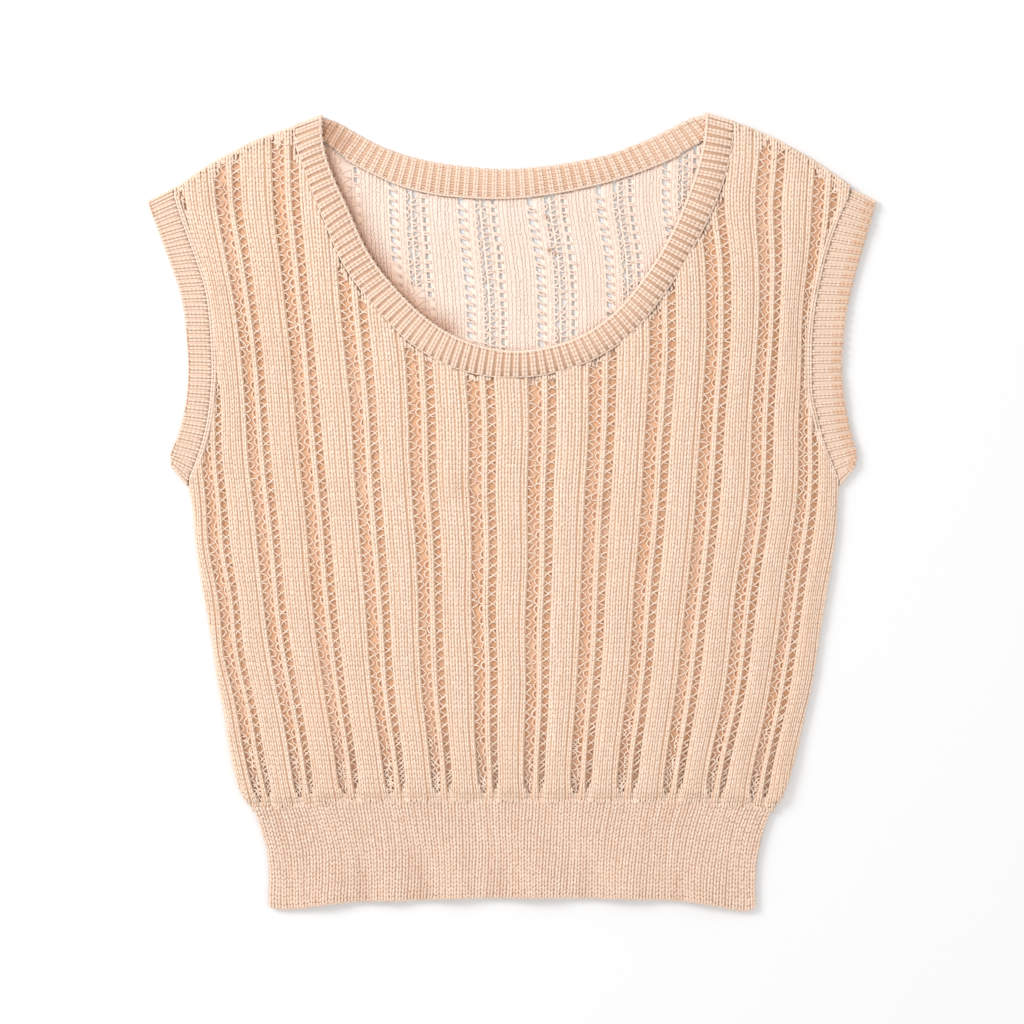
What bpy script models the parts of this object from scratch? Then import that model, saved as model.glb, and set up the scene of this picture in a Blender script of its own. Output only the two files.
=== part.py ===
"""A sleeveless open-knit top that lies flat and face up.

The neck points towards +Y, the hem towards -Y, and the back lies on the plane z = 0. Each knitted piece is one
closed wall: two body panels with raised ribs, two waistbands, a neckband that folds over at the shoulders, and two
armbands that fold at the shoulder tip and the underarm. Sizes are in millimetres, and MM turns them into metres.
"""

import math

import bmesh
import bpy
import numpy as np
from mathutils import Matrix

MM = 0.001

# Heights above the plane that the top lies on
BACK_WALL = 1.8
LAYER_GAP = 0.3
FRONT_INSIDE = BACK_WALL + LAYER_GAP
LADDER_WALL = 1.75
RIB_RISE = 1.35
EDGE_HEIGHT = 0.9
EDGE_ROUNDING = 3.5
EDGE_STEP = 1.2
SEAM_GAP = 0.45

# The side outline of the body below the arms, from the waist seam up to the underarm
BODY_ROWS = (
    # height, left side, right side
    (-192.0, -170.5, 170.5),
    (-187.0, -174.5, 174.5),
    (-180.7, -177.8, 177.3),
    (-171.0, -181.0, 180.6),
    (-151.5, -184.9, 185.8),
    (-132.0, -187.9, 190.1),
    (-112.4, -191.7, 194.4),
    (-92.9, -194.7, 197.9),
    (-73.4, -197.6, 200.8),
    (-54.0, -201.2, 204.2),
    (-34.4, -204.4, 207.2),
    (-14.9, -206.8, 210.0),
    (4.5, -208.6, 211.0),
    (17.5, -211.2, 212.0),
)

# The armholes: where each armband meets the body, and its free edge
ARMHOLE_ROWS = (
    # seam height, left seam, right seam, left edge, right edge, height of the edge above the seam
    (18.5, -211.6, 212.2, -221.6, 222.0, 12.0),
    (32.0, -206.1, 207.0, -222.3, 223.3, 5.5),
    (46.0, -201.6, 201.7, -217.8, 220.0, 3.5),
    (61.0, -198.3, 197.7, -214.0, 217.1, 2.0),
    (75.0, -196.6, 194.6, -211.8, 215.1, 1.0),
    (92.0, -195.6, 193.9, -210.9, 213.6, 0.5),
    (111.0, -196.3, 194.1, -211.8, 214.7, 0.0),
    (130.0, -197.7, 195.8, -213.8, 216.8, 0.0),
    (145.0, -200.1, 198.4, -216.6, 219.8, -1.0),
    (160.0, -204.6, 201.7, -221.6, 223.6, -1.5),
    (179.0, -211.5, 207.2, -227.6, 228.4, -4.0),
    (197.0, -217.6, 214.3, -233.4, 233.0, -6.5),
    (208.3, -221.0, 219.6, -236.8, 235.4, -8.0),
)

# The shoulder folds
SHOULDER_ROWS = (
    # distance from the middle, left height, right height
    (218.8, 211.2, 212.6),
    (195.0, 227.6, 229.0),
    (170.3, 240.4, 242.8),
    (153.5, 247.2, 250.2),
)
NECK_CORNERS = ((-142.0, 250.8), (143.9, 253.2))

# The front of the neckband from the left shoulder fold to the right one
NECK_FRONT_ROWS = (
    # seam x, seam y, free edge x, free edge y
    (-141.4, 249.2, -124.2, 255.4),
    (-140.8, 238.0, -124.0, 245.0),
    (-135.8, 222.6, -120.8, 229.0),
    (-130.7, 208.6, -115.8, 215.5),
    (-123.2, 190.6, -108.8, 200.4),
    (-108.9, 158.9, -93.9, 168.4),
    (-88.1, 131.3, -74.5, 142.9),
    (-66.0, 109.4, -54.5, 124.4),
    (-45.5, 96.6, -38.5, 114.4),
    (-22.0, 89.2, -18.8, 107.3),
    (0.0, 87.4, 0.8, 104.6),
    (26.7, 90.4, 22.8, 107.3),
    (49.9, 98.2, 42.3, 113.6),
    (73.1, 112.5, 62.3, 126.4),
    (97.2, 140.4, 83.6, 150.2),
    (116.7, 171.3, 101.7, 178.9),
    (129.7, 196.9, 112.8, 203.6),
    (139.2, 223.7, 120.6, 226.9),
    (142.3, 240.0, 124.2, 243.6),
    (143.0, 251.6, 125.2, 256.8),
)

# The back of the neckband between the same folds
NECK_BACK_ROWS = (
    # seam x, seam y, free edge x, free edge y
    (-122.4, 240.0, -114.6, 252.8),
    (-108.6, 229.5, -98.2, 243.8),
    (-94.0, 221.6, -85.4, 237.2),
    (-76.0, 213.4, -70.4, 231.7),
    (-53.6, 207.2, -50.6, 227.0),
    (-30.2, 204.6, -28.6, 223.9),
    (-4.9, 203.9, -4.9, 222.4),
    (21.1, 206.4, 18.5, 224.1),
    (47.0, 211.2, 42.6, 227.7),
    (70.5, 217.4, 63.6, 232.4),
    (89.9, 224.3, 81.6, 239.1),
    (109.1, 232.9, 100.0, 247.6),
    (125.6, 241.9, 114.8, 255.0),
)

# The waist seam, and the waistband below it
WAIST_SEAM_MIDDLE = -187.5
WAIST_SEAM_CORNERS = -192.0
WAISTBAND_ROWS = (
    # height, left side, right side
    (-262.0, -157.6, 157.4),
    (-256.0, -158.9, 157.6),
    (-240.0, -158.9, 157.8),
    (-229.5, -159.2, 158.6),
    (-219.7, -160.4, 160.2),
    (-210.0, -163.0, 162.4),
    (-200.0, -166.0, 165.6),
    (-191.0, -169.5, 169.3),
)
HEM_ROWS = (
    # place across, height of the lower edge
    (-159.0, -256.4),
    (-151.0, -258.2),
    (-141.0, -258.0),
    (-122.0, -255.4),
    (-102.0, -253.3),
    (-73.0, -252.6),
    (-40.0, -251.2),
    (0.0, -250.8),
    (44.0, -250.9),
    (83.0, -251.6),
    (112.0, -252.9),
    (132.0, -256.0),
    (144.0, -258.7),
    (152.0, -259.3),
    (158.0, -256.9),
)
WAISTBAND_WALL = 2.1

# Soft waves of the front waistband, which lift it off the back one and grow towards the hem
HEM_WAVES = (
    # place across, lift at the hem, half width
    (-120.0, 1.5, 17.0),
    (-79.0, 1.2, 14.0),
    (-38.0, 1.8, 18.0),
    (16.0, 2.2, 24.0),
    (74.0, 1.9, 19.0),
    (124.0, 1.6, 20.0),
)

# The knitted repeat: ladders fan out from the waist, and bow towards the middle beside the armholes
LADDERS = 12
LADDER_ROWS = (
    # height, middle, half width, bow
    (-190.0, -4.5, 179.0, -5.0),
    (-167.7, -4.5, 184.6, -6.9),
    (-109.2, -4.6, 201.9, -11.6),
    (-50.7, -4.7, 214.1, -15.1),
    (7.8, -4.4, 224.3, -17.3),
    (66.3, -4.8, 236.5, -29.1),
    (124.8, -6.5, 246.2, -36.2),
    (163.8, -8.6, 246.5, -28.7),
    (202.8, -13.0, 240.4, -10.5),
    (228.8, -13.3, 241.7, -9.3),
    (256.0, -13.5, 242.0, -9.0),
)
RIB_PROFILE = (
    # place in the repeat from one ladder to the next, share of the rib's rise
    (0.00, 0.00),
    (0.30, 0.00),
    (0.37, 0.75),
    (0.48, 1.00),
    (0.64, 1.00),
    (0.75, 0.80),
    (0.88, 0.38),
    (1.00, 0.00),
)

# The body puffs out just above the waist seam, where the band gathers it
PUFF_RISE = 1.4
PUFF_PEAK = 12.0
PUFF_END = 70.0

# Rows of the front panel's grid: heights below the neck, then shares of the way up to the neck or shoulder
LOWER_ROWS = (
    -187.5, -185.0, -180.5, -174.0, -163.0, -147.0, -126.0, -102.0, -76.0, -50.0, -24.0, 0.0,
    18.5, 32.0, 46.0, 61.0,
)
SPLIT_HEIGHT = 74.0
UPPER_SHARES = (0.0, 0.055, 0.11, 0.22, 0.33, 0.44, 0.55, 0.66, 0.77, 0.88)

# Places in the repeat of the two side seams, where the grid's columns end
LEFT_PLACE = -0.26
RIGHT_PLACE = LADDERS - 0.40

# Samples of the neck seam, and those where it is so steep that the grid needs a column through each
NECK_SAMPLES = 201
NECK_COLUMN_SAMPLES = (5, 9, 13, 17, 179, 184, 188, 192, 195)
STEEP_GAP = 0.2

# Neckband and armbands: a strip with rounded edges, whose ribs run across it
NECK_WALL = 2.4
NECK_CROWN = 1.3
NECK_RIB_FRONT = 5.1
NECK_RIB_BACK = 5.8
NECK_RIB_DEPTH = 0.7
ARM_WALL = 1.9
ARM_CROWN = 0.3
ARM_RIB = 4.4
ARM_RIB_DEPTH = 0.45
ARM_BACK_STEP = 16.0
BAND_ROUNDING = 1.5
FOLD_STEPS = 4
CROWN_START = 22.0
CROWN_FULL = 48.0

YARN_COLOUR = (0.80, 0.60, 0.44, 1.0)
BAND_COLOUR = (0.82, 0.63, 0.48, 1.0)
YARN_ROUGHNESS = 0.9


def column(rows, index):
    return np.array([row[index] for row in rows], float)


def smooth(share):
    share = np.clip(share, 0.0, 1.0)
    return share * share * (3.0 - 2.0 * share)


def through(at, knots, values):
    """A smooth curve through the values at the rising knots, read at the given places."""
    knots = np.asarray(knots, float)
    values = np.asarray(values, float)
    at = np.clip(np.asarray(at, float), knots[0], knots[-1])
    slopes = np.gradient(values, knots)
    cell = np.clip(np.searchsorted(knots, at) - 1, 0, len(knots) - 2)
    width = knots[cell + 1] - knots[cell]
    share = (at - knots[cell]) / width
    rise = values[cell + 1] - values[cell]
    straight = values[cell] + rise * share
    bend_start = slopes[cell] * width - rise
    bend_end = slopes[cell + 1] * width - rise
    return straight + share * (1 - share) * (bend_start * (1 - share) - bend_end * share)


def evenly_along(points, count):
    """That many points, evenly spaced along a smooth curve through the given ones."""
    points = np.asarray(points, float)
    steps = np.linalg.norm(np.diff(points, axis=0), axis=1)
    knots = np.concatenate([[0.0], np.cumsum(steps)])
    at = np.linspace(0.0, knots[-1], count)
    return np.stack([through(at, knots, points[:, i]) for i in range(points.shape[1])], axis=1)


# Outline of the panels

UNDERARM = ARMHOLE_ROWS[0][0]


def side(y, body_index, arm_index, inward):
    """The body panel's side at a height: the side seam below the underarm, and the armhole seam above it."""
    body = through(y, column(BODY_ROWS, 0), column(BODY_ROWS, body_index))
    arm = through(y, column(ARMHOLE_ROWS, 0), column(ARMHOLE_ROWS, arm_index)) + inward * SEAM_GAP
    return np.where(np.asarray(y) < UNDERARM - 0.5, body, arm)


def left_side(y):
    return side(y, 1, 1, 1.0)


def right_side(y):
    return side(y, 2, 2, -1.0)


def waist_seam(x):
    share = np.abs(np.asarray(x, float)) / BODY_ROWS[0][2]
    return WAIST_SEAM_MIDDLE + (WAIST_SEAM_CORNERS - WAIST_SEAM_MIDDLE) * smooth((share - 0.6) / 0.4)


def shoulder_points(left):
    """The shoulder fold of one side, from the arm to the neck."""
    if left:
        return [*((-row[0], row[1]) for row in SHOULDER_ROWS), NECK_CORNERS[0]]
    return [*((row[0], row[2]) for row in SHOULDER_ROWS), NECK_CORNERS[1]]


def neck_points(rows, count, more=0.0):
    """The body's side of the neck seam, from left to right, a gap away from the band."""
    seam = evenly_along(rows, count)[:, :2]
    tangent = np.gradient(seam, axis=0)
    tangent /= np.linalg.norm(tangent, axis=1)[:, None]
    outward = np.stack([tangent[:, 1], -tangent[:, 0]], axis=1)
    return seam + outward * (SEAM_GAP + more)


def back_seam_rows():
    return [NECK_FRONT_ROWS[0], *NECK_BACK_ROWS, NECK_FRONT_ROWS[-1]]


def top_line(neck_rows):
    """The upper outline of a panel from the left arm to the right one."""
    left = shoulder_points(True)
    right = shoulder_points(False)
    neck = neck_points(neck_rows, NECK_SAMPLES, STEEP_GAP)
    neck = neck[(neck[:, 0] > left[-1][0] + 0.2) & (neck[:, 0] < right[-1][0] - 0.2)]
    line = np.array([*left, *neck, *right[::-1]])
    return line[np.argsort(line[:, 0], kind="stable")]


# Places in the knitted repeat

def ladder_x(place, y):
    """Where a place in the repeat lies at a height. Whole numbers are ladders."""
    heights = column(LADDER_ROWS, 0)
    middle, half, bow = (through(y, heights, column(LADDER_ROWS, i)) for i in (1, 2, 3))
    off = (place - (LADDERS - 1) / 2) / (LADDERS / 2)
    return middle + half * off + bow * off**3


PLACES = np.linspace(-1.5, LADDERS + 1.0, 400)


def ladder_place(x, y):
    """The place in the repeat of a point."""
    return np.interp(x, ladder_x(PLACES, y), PLACES)


def rib_share(place):
    return np.interp(place - np.floor(place), column(RIB_PROFILE, 0), column(RIB_PROFILE, 1))


# Meshes

def material(name, colour):
    made = bpy.data.materials.new(name)
    made.use_nodes = True
    shader = made.node_tree.nodes["Principled BSDF"]
    shader.inputs["Base Color"].default_value = colour
    shader.inputs["Roughness"].default_value = YARN_ROUGHNESS
    shader.inputs["Metallic"].default_value = 0.0
    return made


def add_piece(name, points, faces, colour):
    """One closed wall, as an object of its own."""
    mesh = bpy.data.meshes.new(name)
    mesh.from_pydata([tuple(MM * float(value) for value in point) for point in points], [], faces)
    work = bmesh.new()
    work.from_mesh(mesh)
    bmesh.ops.recalc_face_normals(work, faces=work.faces)
    work.to_mesh(mesh)
    work.free()
    mesh.shade_smooth()
    mesh.set_sharp_from_angle(angle=math.radians(50))
    mesh.materials.append(material(f"{name}_yarn", colour))
    piece = bpy.data.objects.new(name, mesh)
    bpy.context.scene.collection.objects.link(piece)
    return piece


def grid_faces(rows, columns, start=0, flip=False):
    faces = []
    for r in range(rows - 1):
        for c in range(columns - 1):
            corner = start + r * columns + c
            face = (corner, corner + 1, corner + columns + 1, corner + columns)
            faces.append(face[::-1] if flip else face)
    return faces


def grid_rim(rows, columns):
    """The indices round a grid, anticlockwise from above."""
    bottom = list(range(columns))
    right = [r * columns + columns - 1 for r in range(1, rows)]
    top = [(rows - 1) * columns + c for c in range(columns - 2, -1, -1)]
    left = [r * columns for r in range(rows - 2, 0, -1)]
    return bottom + right + top + left


def walls(lower, upper):
    """Faces between two closed loops of indices, which go anticlockwise seen from above."""
    count = len(lower)
    return [(lower[i], lower[(i + 1) % count], upper[(i + 1) % count], upper[i]) for i in range(count)]


def inset(loop, distance):
    """A closed anticlockwise outline, moved inwards."""
    before = loop - np.roll(loop, 1, axis=0)
    after = np.roll(loop, -1, axis=0) - loop
    before /= np.linalg.norm(before, axis=1)[:, None]
    after /= np.linalg.norm(after, axis=1)[:, None]
    tangent = before + after
    tangent /= np.linalg.norm(tangent, axis=1)[:, None]
    inward = np.stack([-tangent[:, 1], tangent[:, 0]], axis=1)
    return loop + inward * distance


def slab(name, loop, top, edge_inset, colour):
    """A flat piece that lies on the plane: a flat underside, a rounded lower edge and a flat upper side."""
    count = len(loop)
    levels = ((inset(loop, edge_inset), 0.0), (loop, EDGE_HEIGHT), (loop, top))
    points = [(x, y, z) for outline, z in levels for x, y in outline]
    rings = [list(range(i * count, (i + 1) * count)) for i in range(3)]
    faces = walls(rings[0], rings[1]) + walls(rings[1], rings[2])
    faces += [tuple(rings[0][::-1]), tuple(rings[2])]
    return add_piece(name, points, faces, colour)


# Body panels

def upper_end(across, line):
    """The height at which a column of the grid meets the upper outline."""
    heights = np.arange(SPLIT_HEIGHT, 262.0, 0.25)
    over = heights >= np.interp(across(heights), line[:, 0], line[:, 1])
    return float(heights[int(np.argmax(over))])


def front_columns(line):
    """Functions that give x at a height, one for each column of the front panel's grid."""
    left_zone, right_zone = 0.88, LADDERS - 1.12

    def edge_column(edge, inward):
        return lambda y: edge(y) + inward

    def left_column(place):
        def across(y):
            start = left_side(y) + EDGE_ROUNDING
            end = ladder_x(left_zone, y)
            return start + (end - start) * (place - LEFT_PLACE) / (left_zone - LEFT_PLACE)
        return across

    def right_column(place):
        def across(y):
            start = ladder_x(right_zone, y)
            end = right_side(y) - EDGE_ROUNDING
            return start + (end - start) * (place - right_zone) / (RIGHT_PLACE - right_zone)
        return across

    places = [k + row[0] for k in range(-1, LADDERS) for row in RIB_PROFILE[:-1]]
    steep = neck_points(NECK_FRONT_ROWS, NECK_SAMPLES, STEEP_GAP)[list(NECK_COLUMN_SAMPLES)]
    corners = [ladder_place(x, y) for x, y in (*NECK_CORNERS, *steep)]
    places = [p for p in places if all(abs(p - c) > 0.03 for c in corners)] + corners
    inside = sorted(p for p in places if left_zone <= p <= right_zone)
    leftward = sorted(p for p in places if LEFT_PLACE + 0.05 < p < left_zone)
    rightward = sorted(p for p in places if right_zone < p < RIGHT_PLACE - 0.05)
    made = [edge_column(left_side, d) for d in (0.0, EDGE_STEP, EDGE_ROUNDING)]
    made += [left_column(p) for p in leftward]
    made += [lambda y, p=p: ladder_x(p, y) for p in inside]
    made += [right_column(p) for p in rightward]
    made += [edge_column(right_side, -d) for d in (EDGE_ROUNDING, EDGE_STEP, 0.0)]
    return made


def edge_fall(distance):
    """How far the outer face has come up from a fold's edge to its full height, from 0 to 1."""
    return np.sqrt(np.clip(1.0 - (1.0 - np.clip(distance / EDGE_ROUNDING, 0.0, 1.0)) ** 2, 0.0, 1.0))


def front_height(x, y, line):
    """The height of the front panel's outer face."""
    place = ladder_place(x, y)
    above_seam = y - float(waist_seam(x))
    puff = smooth(above_seam / PUFF_PEAK) * (1.0 - smooth((above_seam - PUFF_PEAK) / (PUFF_END - PUFF_PEAK)))
    gather = 0.35 + 0.65 * smooth(above_seam / PUFF_PEAK)
    wall = LADDER_WALL + RIB_RISE * float(rib_share(place)) * gather + PUFF_RISE * puff
    to_side = min(x - float(left_side(y)), float(right_side(y)) - x)
    fold = 1.0 if y > UNDERARM else edge_fall(to_side)
    neck_left, neck_right = NECK_CORNERS[0][0], NECK_CORNERS[1][0]
    if x < neck_left or x > neck_right:
        fold = min(fold, edge_fall(float(np.interp(x, line[:, 0], line[:, 1])) - y))
    return FRONT_INSIDE + EDGE_HEIGHT + (wall - EDGE_HEIGHT) * fold


def front_panel():
    """The front body: ribs raised on a wall over a plain inside."""
    line = top_line(NECK_FRONT_ROWS)
    columns = front_columns(line)
    lower_count, upper_count = len(LOWER_ROWS), len(UPPER_SHARES) + 3
    grid = []
    for across in columns:
        end = upper_end(across, line)
        lift = [smooth(1.0 - (level - LOWER_ROWS[0]) / 40.0) for level in LOWER_ROWS]
        drop = float(waist_seam(across(LOWER_ROWS[0]))) - LOWER_ROWS[0] + SEAM_GAP / 2
        heights = [level + drop * share for level, share in zip(LOWER_ROWS, lift)]
        room = end - SPLIT_HEIGHT
        rounding = min(EDGE_ROUNDING, 0.16 * room)
        heights += [SPLIT_HEIGHT + share * (room - rounding) for share in UPPER_SHARES]
        heights += [end - rounding, end - rounding * EDGE_STEP / EDGE_ROUNDING, end]
        grid.append([(float(across(y)), y) for y in heights])
    rows, count = lower_count + upper_count, len(columns)
    flat = [grid[c][r] for r in range(rows) for c in range(count)]
    points = [(x, y, front_height(x, y, line)) for x, y in flat]
    rim = grid_rim(rows, count)
    inside = [(flat[i][0], flat[i][1], FRONT_INSIDE) for i in rim]
    inner = list(range(len(points), len(points) + len(rim)))
    faces = grid_faces(rows, count) + walls(inner, rim) + [tuple(inner[::-1])]
    return add_piece("front_panel", points + inside, faces, YARN_COLOUR)


def back_panel():
    """The back body: flat where it rests, and flat inside."""
    seam = column(ARMHOLE_ROWS, 0)
    heights = np.concatenate([column(BODY_ROWS, 0)[1:-1], np.linspace(seam[0], seam[-1], 25)[:-1]])
    bottom_x = np.linspace(-170.5, 170.5, 13)
    bottom = [(x, float(waist_seam(x)) + SEAM_GAP / 2) for x in bottom_x]
    right = [(float(right_side(y)), y) for y in heights]
    left = [(float(left_side(y)), y) for y in heights[::-1]]
    neck = neck_points(back_seam_rows(), NECK_SAMPLES)[::-4]
    top = [*shoulder_points(False), *neck, *shoulder_points(True)[::-1]]
    loop = np.array([*bottom, *right, *top, *left])
    return slab("back_panel", loop, BACK_WALL, 1.2, YARN_COLOUR)


# Waistbands

def hem(x):
    return through(x, column(HEM_ROWS, 0), column(HEM_ROWS, 1))


def waistband_side(y, left):
    return through(y, column(WAISTBAND_ROWS, 0), column(WAISTBAND_ROWS, 1 if left else 2))


def waistband_grid(columns, rows):
    """Points of the waistband from left to right and from the hem up to the seam."""
    def across(y, share):
        left, right = float(waistband_side(y, True)), float(waistband_side(y, False))
        return left + (right - left) * share

    grid = []
    for upward in rows:
        for share in columns:
            low = float(hem(across(WAISTBAND_ROWS[0][0], share)))
            high = float(waist_seam(across(WAISTBAND_ROWS[-1][0], share))) - SEAM_GAP / 2
            y = low + (high - low) * upward
            grid.append((across(y, share), y, upward))
    return grid


def wave_lift(x, upward):
    lift = sum(height * math.exp(-(((x - middle) / half) ** 2)) for middle, height, half in HEM_WAVES)
    return lift * float(smooth(1.0 - upward)) ** 1.2


def waistband_front():
    """The front waistband: a wall whose soft waves stand off the back one at the hem."""
    edge = [0.0, 0.004, 0.011]
    columns = edge + list(np.linspace(0.03, 0.97, 40)) + [1.0 - share for share in edge[::-1]]
    rows = [0.0, 0.03, 0.08, 0.18, 0.32, 0.5, 0.72, 0.93, 1.0]
    flat = waistband_grid(columns, rows)
    width = 316.0
    outer, inner = [], []
    for index, (x, y, upward) in enumerate(flat):
        share = columns[index % len(columns)]
        lift = wave_lift(x, upward)
        fold = min(edge_fall(min(share, 1.0 - share) * width), 0.55 + 0.45 * edge_fall(upward * 66.0))
        outer.append((x, y, FRONT_INSIDE + lift + EDGE_HEIGHT + (WAISTBAND_WALL - EDGE_HEIGHT) * fold))
        inner.append((x, y, FRONT_INSIDE + lift))
    start = len(outer)
    rim = grid_rim(len(rows), len(columns))
    faces = grid_faces(len(rows), len(columns))
    faces += grid_faces(len(rows), len(columns), start, flip=True)
    faces += walls([start + i for i in rim], rim)
    return add_piece("waistband_front", outer + inner, faces, BAND_COLOUR)


def waistband_back():
    """The back waistband, flat on the plane."""
    columns = np.linspace(0.0, 1.0, 21)
    rows = (0.0, 0.2, 0.4, 0.6, 0.8, 1.0)
    flat = waistband_grid(columns, rows)
    loop = np.array([flat[i][:2] for i in grid_rim(len(rows), len(columns))])
    return slab("waistband_back", loop, BACK_WALL, 1.0, BAND_COLOUR)


# Bands that fold over

def strip_section(width, wall, outer, inner):
    """The outline of a band across its width: (distance from the seam, height over the middle of the wall).
    outer and inner are the (crown, groove) of its two faces."""
    half = wall / 2
    return (
        (BAND_ROUNDING * 0.5, -half + inner[1] * 0.4),
        (width / 2, -half - inner[0] + inner[1]),
        (width - BAND_ROUNDING * 0.5, -half + inner[1] * 0.4),
        (width - 0.35 * max(outer[1], inner[1]), 0.0),
        (width - BAND_ROUNDING, half - outer[1]),
        (width / 2, half + outer[0] - outer[1]),
        (BAND_ROUNDING, half - outer[1]),
        (0.0, 0.0),
    )


def folded_band(name, front, back, wall, middles, colour):
    """A closed band from two lists of sections, the front's and the back's, each (seam x, seam y, edge x, edge y,
    outer face, inner face). The back starts where the front ends, and middles are the heights of the two layers."""
    front_middle, back_middle = middles
    radius = (front_middle - back_middle) / 2
    centre = (front_middle + back_middle) / 2
    placed = []

    def add(row, offset, height, normal):
        placed.append((row, offset, height, normal))

    def travel(a, b):
        step = np.array([b[0] - a[0] + b[2] - a[2], b[1] - a[1] + b[3] - a[3]])
        return step / np.linalg.norm(step)

    def fold(row, direction, going_down):
        for i in range(1, FOLD_STEPS):
            angle = math.pi * i / FOLD_STEPS
            angle = angle if going_down else math.pi - angle
            reach = direction * math.sin(angle)
            add(row, reach * radius, centre + radius * math.cos(angle), (*reach, math.cos(angle)))

    for row in front:
        add(row, (0.0, 0.0), front_middle, (0.0, 0.0, 1.0))
    fold(front[-1], travel(front[-2], front[-1]), True)
    for row in back:
        add(row, (0.0, 0.0), back_middle, (0.0, 0.0, -1.0))
    fold(front[0], travel(front[1], front[0]), False)

    points = []
    for row, offset, height, normal in placed:
        seam = np.array([row[0], row[1]])
        edge = np.array([row[2], row[3]])
        width = np.linalg.norm(edge - seam)
        across = (edge - seam) / width
        for distance, over in strip_section(width, wall, row[4], row[5]):
            flat = seam + np.asarray(offset) + across * distance + np.array(normal[:2]) * over
            points.append((*flat, height + normal[2] * over))
    size = len(points) // len(placed)
    faces = []
    for i in range(len(placed)):
        after = (i + 1) % len(placed)
        for j in range(size):
            k = (j + 1) % size
            faces.append((i * size + j, after * size + j, after * size + k, i * size + k))
    return add_piece(name, points, faces, colour)


def ribbed(rows, pitch, crown, depth, outside, ends):
    """Sections along a strip, two for each rib. The crown and the ribs fade out towards its two folded ends."""
    length = float(np.linalg.norm(np.diff(np.asarray(rows)[:, :2], axis=0), axis=1).sum())
    count = 2 * round(length / pitch) + 1
    points = evenly_along(rows, count)
    made = []
    for i, row in enumerate(points):
        along = min(i, count - 1 - i) / (count - 1) * length
        grown = float(smooth((along - ends[0]) / (ends[1] - ends[0])))
        face = (crown * grown, depth * grown if i % 2 else 0.0)
        plain = (0.0, 0.0)
        made.append((*row, face, plain) if outside else (*row, plain, face))
    return made


def plain_sections(rows, count):
    return [(*row, (0.0, 0.0), (0.0, 0.0)) for row in evenly_along(rows, count)]


def neckband():
    """One rib strip round the neck. Its front lies on top, and its back shows its inner face."""
    front = ribbed(NECK_FRONT_ROWS, NECK_RIB_FRONT, NECK_CROWN, NECK_RIB_DEPTH, True, (0.0, 14.0))
    back_rows = back_seam_rows()[::-1]
    back = ribbed(back_rows, NECK_RIB_BACK, NECK_CROWN * 0.6, NECK_RIB_DEPTH, False, (CROWN_START, CROWN_FULL))
    low = NECK_WALL / 2
    high = NECK_WALL + LAYER_GAP + NECK_WALL / 2
    return folded_band("neckband", front, back, NECK_WALL, (high, low), BAND_COLOUR)


def armband(name, seam_index, edge_index):
    """One fine rib strip round an armhole, flat under the front layer."""
    seam = column(ARMHOLE_ROWS, 0)
    heights = np.linspace(seam[0], seam[-1], 60)
    seam_x, edge_x, rise = (through(heights, seam, column(ARMHOLE_ROWS, i)) for i in (seam_index, edge_index, 5))
    rows = list(zip(seam_x, heights, edge_x, heights + rise))
    front = ribbed(rows, ARM_RIB, ARM_CROWN, ARM_RIB_DEPTH, True, (0.0, 6.0))
    back = plain_sections(rows[::-1], 2 * len(ARMHOLE_ROWS))
    low = ARM_WALL / 2
    high = ARM_WALL + LAYER_GAP + ARM_WALL / 2
    return folded_band(name, front, back, ARM_WALL, (high, low), BAND_COLOUR)


def centre(pieces):
    """Moves the top so that the middle of its outline is over the origin."""
    points = np.array([vertex.co for piece in pieces for vertex in piece.data.vertices])
    middle = (points.min(axis=0) + points.max(axis=0)) / 2
    for piece in pieces:
        piece.data.transform(Matrix.Translation((-middle[0], -middle[1], 0.0)))


def build():
    for old in list(bpy.data.objects):
        bpy.data.objects.remove(old, do_unlink=True)
    centre([
        front_panel(),
        back_panel(),
        waistband_front(),
        waistband_back(),
        neckband(),
        armband("armband_left", 1, 3),
        armband("armband_right", 2, 4),
    ])


build()
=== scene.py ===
"""The looks of an open-knit top that lies flat and face up. Every stitch, ladder loop and rib is yarn.

Lengths are in millimetres in the part's own frame, and MM turns them into metres. The outline's tables hold
the same sizes as the solids, and SHIFT puts them over the part's origin.
"""

import math

import bpy
import numpy as np
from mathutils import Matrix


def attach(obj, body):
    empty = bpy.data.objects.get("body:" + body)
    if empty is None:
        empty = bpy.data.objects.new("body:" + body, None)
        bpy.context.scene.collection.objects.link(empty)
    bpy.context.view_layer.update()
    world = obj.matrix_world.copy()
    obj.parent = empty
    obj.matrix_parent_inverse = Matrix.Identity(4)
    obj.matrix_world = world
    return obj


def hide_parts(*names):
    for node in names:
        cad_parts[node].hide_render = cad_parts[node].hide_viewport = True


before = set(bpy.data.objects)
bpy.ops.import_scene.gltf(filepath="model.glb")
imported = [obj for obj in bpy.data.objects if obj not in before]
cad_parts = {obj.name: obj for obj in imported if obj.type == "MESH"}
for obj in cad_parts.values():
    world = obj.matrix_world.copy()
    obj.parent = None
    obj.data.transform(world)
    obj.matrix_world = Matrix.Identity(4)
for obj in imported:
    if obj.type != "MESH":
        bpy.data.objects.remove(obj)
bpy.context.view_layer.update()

MM = 0.001
SHIFT = np.array([0.68, 0.2, 0.0])
RNG = np.random.default_rng(11)

# Heights
BACK_WALL = 1.8
LAYER_GAP = 0.3
FRONT_INSIDE = BACK_WALL + LAYER_GAP
BACK_TOP_FACE = 1.75
BACK_DROP = 0.62
GROUND_DEPTH = 0.62
LADDER_WALL = 1.3
RIB_RISE = 1.9
EDGE_HEIGHT = 0.9
EDGE_ROUNDING = 3.5
SEAM_GAP = 0.45
PLANE_GAP = 0.02

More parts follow.
